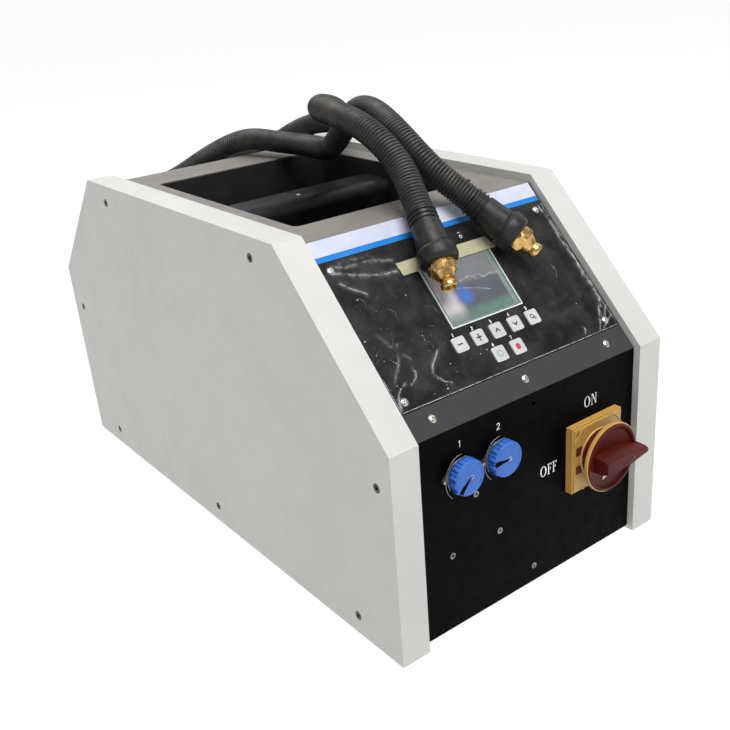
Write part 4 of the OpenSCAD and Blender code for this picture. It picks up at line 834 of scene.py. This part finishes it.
# Half the width, the middle and half the height of the patch that the tape holds down
HELD_X, HELD_MIDDLE, HELD_S = 57, 131, 8
FILM_X, FILM_LOW, FILM_HIGH = 119.5, 23.6, 155.1
FILM_STEP = 1.0
FILM_BASE, FILM_THICK = 1.42, 0.12
TAPE_LEFT, TAPE_RIGHT = -54.6, 45.6
TAPE_LOW, TAPE_WIDTH, TAPE_BASE = 125.1, 11.8, 1.6
DUST_SPECKS = 150
FOLDS = [
    # A fan of folds from the upper left screw
    ([(-110, 149), (-98.8, 145.7), (-88.8, 146.1), (-79.2, 145.8), (-65.8, 142.9), (-56.9, 140.8)],
     1.7, 0.6),
    ([(-111, 143.5), (-98.2, 138.5), (-81.5, 133.6), (-70.8, 131.3), (-58.1, 130.5)], 1.7, 0.75),
    ([(-111, 134), (-104.4, 127.8), (-93.7, 119.9)], 1.1, 0.8),
    ([(-104, 150.6), (-90, 150), (-76, 150.4)], 1.4, 0.4),
    # Loose curls low on the left
    ([(-91.5, 53), (-90.5, 49), (-92.6, 45.5), (-99.2, 41.5)], 0.7, 1.0),
    ([(-62.9, 59), (-68, 54), (-74, 49.3), (-77, 44), (-75.4, 39.5), (-71, 34), (-66.2, 31.5)], 0.8, 1.0),
    ([(-104, 44), (-110, 41), (-114.2, 37.7), (-117, 31), (-118.5, 26)], 0.8, 1.0),
    ([(-112, 47), (-100, 60), (-93, 74)], 1.2, 0.45), ([(-88, 60), (-97, 70), (-104, 86)], 1.3, 0.35),
    # The lifted right border and its puckered lower corner
    ([(114, 149), (116.3, 130), (115.2, 112), (117.2, 92), (116, 76), (117.6, 62), (115.6, 50), (113, 44)],
     1.3, 1.1),
    ([(111, 45), (105, 36), (100, 28), (96, 23.8)], 0.9, 0.8), ([(118, 52), (110, 44), (107, 33)], 0.8, 0.7),
    ([(119, 44), (112, 36), (104, 32)], 0.8, 0.7), ([(119, 34), (109, 29), (101, 25)], 0.8, 0.8),
    ([(80, 27), (83, 30), (82, 33)], 0.6, 1.0),
    # Across the display
    ([(-8, 106), (2, 108), (6, 105.5), (11, 107), (16, 103.5), (24, 104.5), (33.6, 103.4)], 1.0, 0.9),
    ([(-15, 101), (0, 97.2), (12, 93), (17, 90.5)], 0.7, 0.8),
]
SCRATCHES = ((-104, 120), (-96, 84), (-84, 104), (-70, 70), (-106, 66), (-58, 80), (-52, 96), (60, 120),
             (88, 96))


def distance_to(line, x, s):
    """How far a point lies from a line of points, in millimetres."""
    best = 1e9
    for (ax, ay), (bx, by) in zip(line, line[1:]):
        dx, dy = bx - ax, by - ay
        t = max(0.0, min(1.0, ((x - ax) * dx + (s - ay) * dy) / (dx * dx + dy * dy)))
        best = min(best, math.hypot(x - ax - t * dx, s - ay - t * dy))
    return best


def free_share(x, s):
    """One where the film can rise, falling to zero under the boots and the tape."""
    near = min(distance_to(line, x, s) - REST_REACH for line in RESTS)
    tape = max(abs(x) - HELD_X, abs(s - HELD_MIDDLE) - HELD_S)
    return max(0.0, min(1.0, near / 6, tape / 4))


def film_at(x, s):
    """Height of the film over the slope, and how milky it is there with a painted highlight along its folds.
    """
    share = free_share(x, s)
    rise, milk_and_sheen = 0.0, 0.0
    for line, width, strength in FOLDS:
        d = distance_to(line, x, s) / width
        if d < 4:
            bell = math.exp(-2.2 * d * d)
            rise = max(rise, strength * bell)
            # The folds are milky and carry a painted highlight
            milk_and_sheen = max(milk_and_sheen, 0.6 * strength * bell + 0.12 * strength * math.exp(-d * d / 5))
    wave = noise.noise(Vector((x * 0.05, s * 0.09, 2.0)))
    wave += 0.4 * noise.noise(Vector((x * 0.2, s * 0.23, 5.0)))
    return FILM_BASE + share * (0.75 * rise + 0.3 * max(0.0, wave)), milk_and_sheen


def make_film():
    """The clear film: a thin closed sheet whose folds are raised, and milky with a painted highlight."""
    bm = bmesh.new()
    layer = bm.verts.layers.float.new("crease")

    def place(across, up, face):
        x = FILM_X * (2 * across - 1)
        s = FILM_LOW + (FILM_HIGH - FILM_LOW) * up
        if across == 1:
            x += 0.9 * noise.noise(Vector((0.3, s * 0.11, 9))) - 0.9
        h, milk_and_sheen = film_at(x, s)
        point = bm.verts.new(ON_SLOPE @ mm(x, s, h + FILM_THICK * face))
        point[layer] = milk_and_sheen
        return point

    add_sheet(bm, round(2 * FILM_X / FILM_STEP), round((FILM_HIGH - FILM_LOW) / FILM_STEP), place)
    piece("film_wrinkled", bm, "root", "clear_film", replaces=["protective_film"], crease=180)


def make_glints():
    """Bright threads along the film's folds and rims, and dust caught under it."""
    bm = bmesh.new()
    draw = random.Random(11)
    lines = [(line, 0.03 + 0.12 * strength) for line, width, strength in FOLDS if strength >= 0.7]
    lines.append(([(-119, 24), (-60, 23.8), (0, 24), (60, 23.8), (119, 24)], 0.24))
    lines.append(([(-119.2, 24), (-119.2, 40), (-119.3, 54)], 0.2))
    lines.append(([(118.6, 26), (118.2, 45), (118.9, 70), (118.3, 95), (118.8, 120), (118.4, 154)], 0.2))
    for x, s in SCRATCHES:
        turn, reach = draw.uniform(0.3, 1.2), draw.uniform(3, 9)
        middle = (x + reach * math.cos(turn), s - reach * math.sin(turn))
        end = (x + 1.7 * reach * math.cos(turn + 0.5), s - 1.7 * reach * math.sin(turn + 0.5))
        lines.append(([(x, s), middle, end], 0.07))
    for line, size in lines:
        points = []
        for (ax, ay), (bx, by) in zip(line, line[1:]):
            steps = max(2, round(math.hypot(bx - ax, by - ay) / 1.5))
            points += [(ax + (bx - ax) * k / steps, ay + (by - ay) * k / steps) for k in range(steps)]
        points.append(line[-1])
        run = []
        for k, (x, s) in enumerate(points):
            x += 0.35 * noise.noise(Vector((x * 0.4, s * 0.4, 3)))
            run.append(ON_SLOPE @ mm(x, s, film_at(x, s)[0] + 0.1))
        radii = [size * (0.35 + 0.65 * abs(math.sin(1.7 * k + x))) * min(1, (k + 1) / 3, (len(run) - k) / 3)
                 for k in range(len(run))]
        add_tube(bm, run, radii, 6)
    for _ in range(DUST_SPECKS):
        x = -119 + 100 * draw.random() ** 1.5 if draw.random() < 0.8 else draw.uniform(-20, 117)
        s = draw.uniform(26, 118)
        if free_share(x, s) < 1:
            continue
        size = 0.12 + 0.42 * draw.random() ** 4
        add_prism(bm, [(size * c * 1.4, size * t) for c, t in RING[::4]], -0.04, 0.05,
                  at(ON_SLOPE, x, s, film_at(x, s)[0] + 0.12))
    piece("film_glints", bm, "root", "film_white", crease=180)


def make_tape():
    """A strip of paper tape with crinkles across it, one end torn and the other cut aslant."""
    bm = bmesh.new()

    def place(across, up, face):
        s = TAPE_LOW + TAPE_WIDTH * up
        left = TAPE_LEFT + 1.4 * noise.noise(Vector((0, s * 0.8, 1))) - 1.2 * up
        right = TAPE_RIGHT - 5.4 * up
        x = left + (right - left) * across
        crinkle = 0.5 + noise.noise(Vector((x * 0.55, s * 0.12, 4)))
        return bm.verts.new(ON_SLOPE @ mm(x, s, TAPE_BASE + (0.05 + 0.06 * crinkle) * face))

    add_sheet(bm, 120, 12, place)
    piece("tape_crinkled", bm, "root", "paper_tape", replaces=["film_tape"], crease=180)


# Switch and ports
SWITCH = at(ON_FRONT, 68.5, 105.5)
PLATE_FACE = 8.3
KNOB_DISH = 21.9
CAP_FACE = 11.0


def make_knob():
    """The knob: a dished disc on a neck, with a wedge grip whose tip reaches past the rim."""
    bm = bmesh.new()
    profile = [
        (0, 8.7), (20.5, 8.7), (20.5, 17.5), (21.5, 19.3), (29.3, 19.6), (30, 20.3), (30, 23.4),
        (29.7, 24.2), (28.8, 24.5), (27.6, 24.3), (26.8, 23.4), (25.8, KNOB_DISH + 0.4), (24.4, KNOB_DISH),
        (0, KNOB_DISH)]
    add_lathe(bm, profile, SWITCH, 96)
    plan = [(-20, 7.4), (-10, 8.8), (8, 9.0), (33.0, 2.4), (33.0, -2.4), (8, -9.0), (-10, -8.8), (-20, -7.4)]
    rings = [[bm.verts.new(SWITCH @ mm(x * along, y * across, z)) for x, y in plan]
             for z, along, across in ((KNOB_DISH - 1, 1, 1), (31, 1, 0.92), (35.8, 0.97, 0.62))]
    bridge(bm, rings, caps=True)
    ease(bm, 0.7, 3, 24)
    piece("knob_moulded", bm, "switch_knob", "red_plastic", replaces=["switch_knob"], crease=36)
    bm = bmesh.new()
    add_lathe(bm, [(30.05, 19.9), (30.8, 20.4), (30.8, 23.0), (30.05, 23.6)], SWITCH, 96, closed=True)
    piece("knob_rim", bm, "switch_knob", "yellow_plastic", crease=40)
    bm = bmesh.new()
    add_prism(bm, [(-9.5, -18.5), (-2.6, -16.4), (-8.2, -13.2)], 20.0, KNOB_DISH + 0.1, SWITCH)
    piece("knob_arrow", bm, "switch_knob", "white_print", crease=20)
    # A dark disc on the grip's top stands for a hole: painted shade
    bm = bmesh.new()
    add_lathe(bm, [(0, 34.0), (1.9, 34.0), (1.9, 35.86), (0, 35.86)], at(SWITCH, 14, 0), 24)
    piece("knob_hole_shade", bm, "switch_knob", "icon_ink", crease=30)


def make_switch():
    soften("switch_plate", 1.1, "yellow_plastic", segments=4)
    make_knob()
    bm = bmesh.new()
    add_lathe(bm, [(20.7, 8.0), (22.2, 8.0), (22, 9), (21.6, 9.4), (20.7, 9.4)], SWITCH, 96, closed=True)
    for turn in (45, 135, 225, 315):
        points = [SWITCH @ mm(x, y, PLATE_FACE) for x, y in arc(0, 0, 34.2, turn - 15, turn + 15, 12)]
        add_tube(bm, points, 0.5, 8)
    piece("switch_collar", bm, "root", "yellow_plastic", crease=40)
    bm = bmesh.new()
    for side in (-1, 1):
        window = at(SWITCH, -23.4, side * 8.6)
        add_prism(bm, rounded_box(7.6, 8.0, 0.7, 3), PLATE_FACE - 2, PLATE_FACE + 0.06, window)
    add_stroke(bm, [(-27, 23.4), (-23.4, 27)], 1.0, PLATE_FACE - 1, PLATE_FACE + 0.05, SWITCH)
    add_stroke(bm, [(-25.4, 26.6), (-24.4, 24)], 0.9, PLATE_FACE - 1, PLATE_FACE + 0.06, SWITCH)
    piece("switch_windows", bm, "root", "window_red", crease=30)


def make_caps():
    """The blue caps: a moulded rim, grip nubs, a dark piece that paints the shade in a slit, and a wire eye.
    """
    for number, x, turn in PORTS:
        body = f"port_{number}_cap"
        soften(body, 0.5, "socket_plastic", segments=3)
        place = at(ON_FRONT, x, PORT_Z)
        bm = bmesh.new()
        nub = [(0, 4.6), (0.9, 4.6), (1.3, 5.2), (1.3, 9.8), (0.9, 10.6), (0, 10.8)]
        for u, v in arc(0, 0, 14.7, 112, 216, 4):
            add_lathe(bm, nub, at(place, u, v), 16)
        rim = [(12.0, 10.8), (12.3, 11.25), (13.0, 11.3), (13.7, 10.9), (13.3, 10.4), (12.3, 10.4)]
        add_lathe(bm, rim, place, 64, closed=True)
        piece(body + "_nubs", bm, body, "socket_plastic", crease=50)
        # The slit is a dark piece on the face: painted shade
        bm = bmesh.new()
        slit = [(0.4, -0.6), (5, -1.1), (9, -2.2), (13.9, -2.5), (13.9, 1.9), (9, 1.4), (5, 0.9), (0.4, 0.5)]
        along = place @ Matrix.Rotation(math.radians(turn), 4, "Z")
        add_prism(bm, slit, CAP_FACE - 1.4, CAP_FACE + 0.34, along)
        piece(body + "_slit_shade", bm, body, "black_front", crease=30)
        bm = bmesh.new()
        loop = [place @ mm(u, v, CAP_FACE + 0.3) for u, v in arc(0.8, 0.6, 1.7, -120, 120, 14)]
        add_tube(bm, loop, 0.42, 8)
        piece(body + "_eye", bm, body, "bright_steel", crease=60)


def make_lanyards():
    """Thin wires that leave each socket's flange and go round its cap."""
    bm = bmesh.new()
    for number, x, turn in PORTS:
        place = at(ON_FRONT, x, PORT_Z)
        for radius, first, last, lift in ((18.8, 95, 232, 3.6), (17.2, 82, 205, 4.6)):
            points = []
            for k, (u, v) in enumerate(arc(0, 0, radius, first, last, 40)):
                wobble = 1 + 0.05 * math.sin(k * 0.19 + radius)
                height = lift + 0.7 * math.sin(k * 0.16)
                points.append(place @ mm(wobble * u, wobble * v, height))
            add_tube(bm, points, 0.36, 8)
    piece("lanyards_wire", bm, "root", "dull_steel", replaces=["cap_lanyards"],
          crease=60)


def make_rivet():
    bm = bmesh.new()
    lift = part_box("carry_bar")[1].z / MM
    place = Matrix.Translation(mm(0, 27.6, lift))
    add_lathe(bm, [(0, 0.9), (1.6, 0.8), (2.6, 0.35), (3.0, -0.05), (2.6, -0.4), (0, -0.4)], place, 32)
    piece("bar_rivet", bm, "root", "dull_steel", crease=40)


make_leads()
make_lettering()
make_keys()
make_film()
make_glints()
make_tape()
make_switch()
make_caps()
make_lanyards()
make_rivet()
SOFTENED = [
    ("cheek_paint", 1.4, ["left_cheek", "right_cheek"]),
    ("cover_paint", 0.5, ["top_cover"]),
    ("black_paint", 0.5, ["control_panel", "rear_panel", "carry_well"]),
    ("dark_plastic", 0.5, ["port_1_socket", "port_2_socket", "mains_gland", "output_glands", "fan_frame",
                           "fan_rotor"]),
    ("bright_steel", 0.18, ["panel_screws", "port_screws"]),
    ("dark_steel", 0.15, ["cheek_screws_left", "cheek_screws_right", "rear_screws"]),
    ("brass", 0.3, ["water_tails"]),
]
NODE_FINISH = {
    "zinc_sheet": ["chassis"],
    "dark_plastic": ["switch_body", "contactor"],
    "overlay_film": ["panel_overlay"],
    "header_film": ["header_strip"],
    "bezel_white": ["display_bezel"],
    "display_glass": ["display_glass"],
    "board": ["control_board", "main_board"],
    "bright_steel": ["fan_guard", "switch_shaft"],
    "dark_steel": ["foot_screws"],
    "cold_aluminium": ["cold_plate"],
    "module_plastic": ["power_modules"],
    "capacitor_can": ["capacitor_bank"],
    "ferrite": ["output_transformer"],
}
for finish, width, nodes in SOFTENED:
    for node in nodes:
        soften(node, width, finish)
soften("front_panel", 0.5, "black_front")
soften("front_screws", 0.15, "dull_steel")
soften("carry_bar", 0.5, "bar_paint")
soften("rubber_feet", 0.8, "boot_rubber")
for finish, nodes in NODE_FINISH.items():
    for node in nodes:
        dress(node, finish)


def make_stage():
    """A wide pale floor that glows a little, a sky that is bright low down, and three area lights."""
    floor_mesh = bpy.data.meshes.new("floor")
    reach = 60.0
    corners = [(-reach, -reach, 0), (reach, -reach, 0), (reach, reach, 0), (-reach, reach, 0)]
    floor_mesh.from_pydata(corners, [], [(0, 1, 2, 3)])
    floor = bpy.data.objects.new("floor", floor_mesh)
    bpy.context.scene.collection.objects.link(floor)
    finish = Finish("pale_floor", (0.2, 0.2, 0.2), 0.9, Emission_Color=(1, 1, 1, 1), Emission_Strength=0.92,
                    Specular_IOR_Level=0.0)
    floor_mesh.materials.append(finish.material)
    world = bpy.data.worlds.new("studio")
    world.use_nodes = True
    nodes, links = world.node_tree.nodes, world.node_tree.links
    rise = nodes.new("ShaderNodeSeparateXYZ")
    ramp = nodes.new("ShaderNodeMapRange")
    links.new(nodes.new("ShaderNodeTexCoord").outputs["Generated"], rise.inputs[0])
    links.new(rise.outputs["Z"], ramp.inputs[0])
    # Full strength below a rise of 0.03, and about a quarter above 0.16
    for i, v in enumerate((0.03, 0.16, 1.0, 0.24), 1):
        ramp.inputs[i].default_value = v
    links.new(ramp.outputs[0], nodes["Background"].inputs["Strength"])
    nodes["Background"].inputs["Color"].default_value = (1, 1, 1, 1)
    bpy.context.scene.world = world
    # Name, place, what it looks at, size in metres and power in watts
    for name, place, target, size, power in (
            ("key", (-0.15, -1.1, 2.4), (0, 0, 0.2), 1.6, 72),
            ("fill", (1.7, 0.3, 1.6), (0, 0, 0.2), 1.4, 8),
            ("rear", (0.2, 1.8, 1.9), (0, 0.1, 0.3), 1.4, 22)):
        data = bpy.data.lights.new(name, "AREA")
        data.size = size
        data.energy = power
        light = bpy.data.objects.new(name, data)
        light.location = place
        light.rotation_euler = (Vector(target) - Vector(place)).to_track_quat("-Z", "Y").to_euler()
        bpy.context.scene.collection.objects.link(light)
    bpy.context.scene.view_settings.view_transform = "Standard"


make_stage()
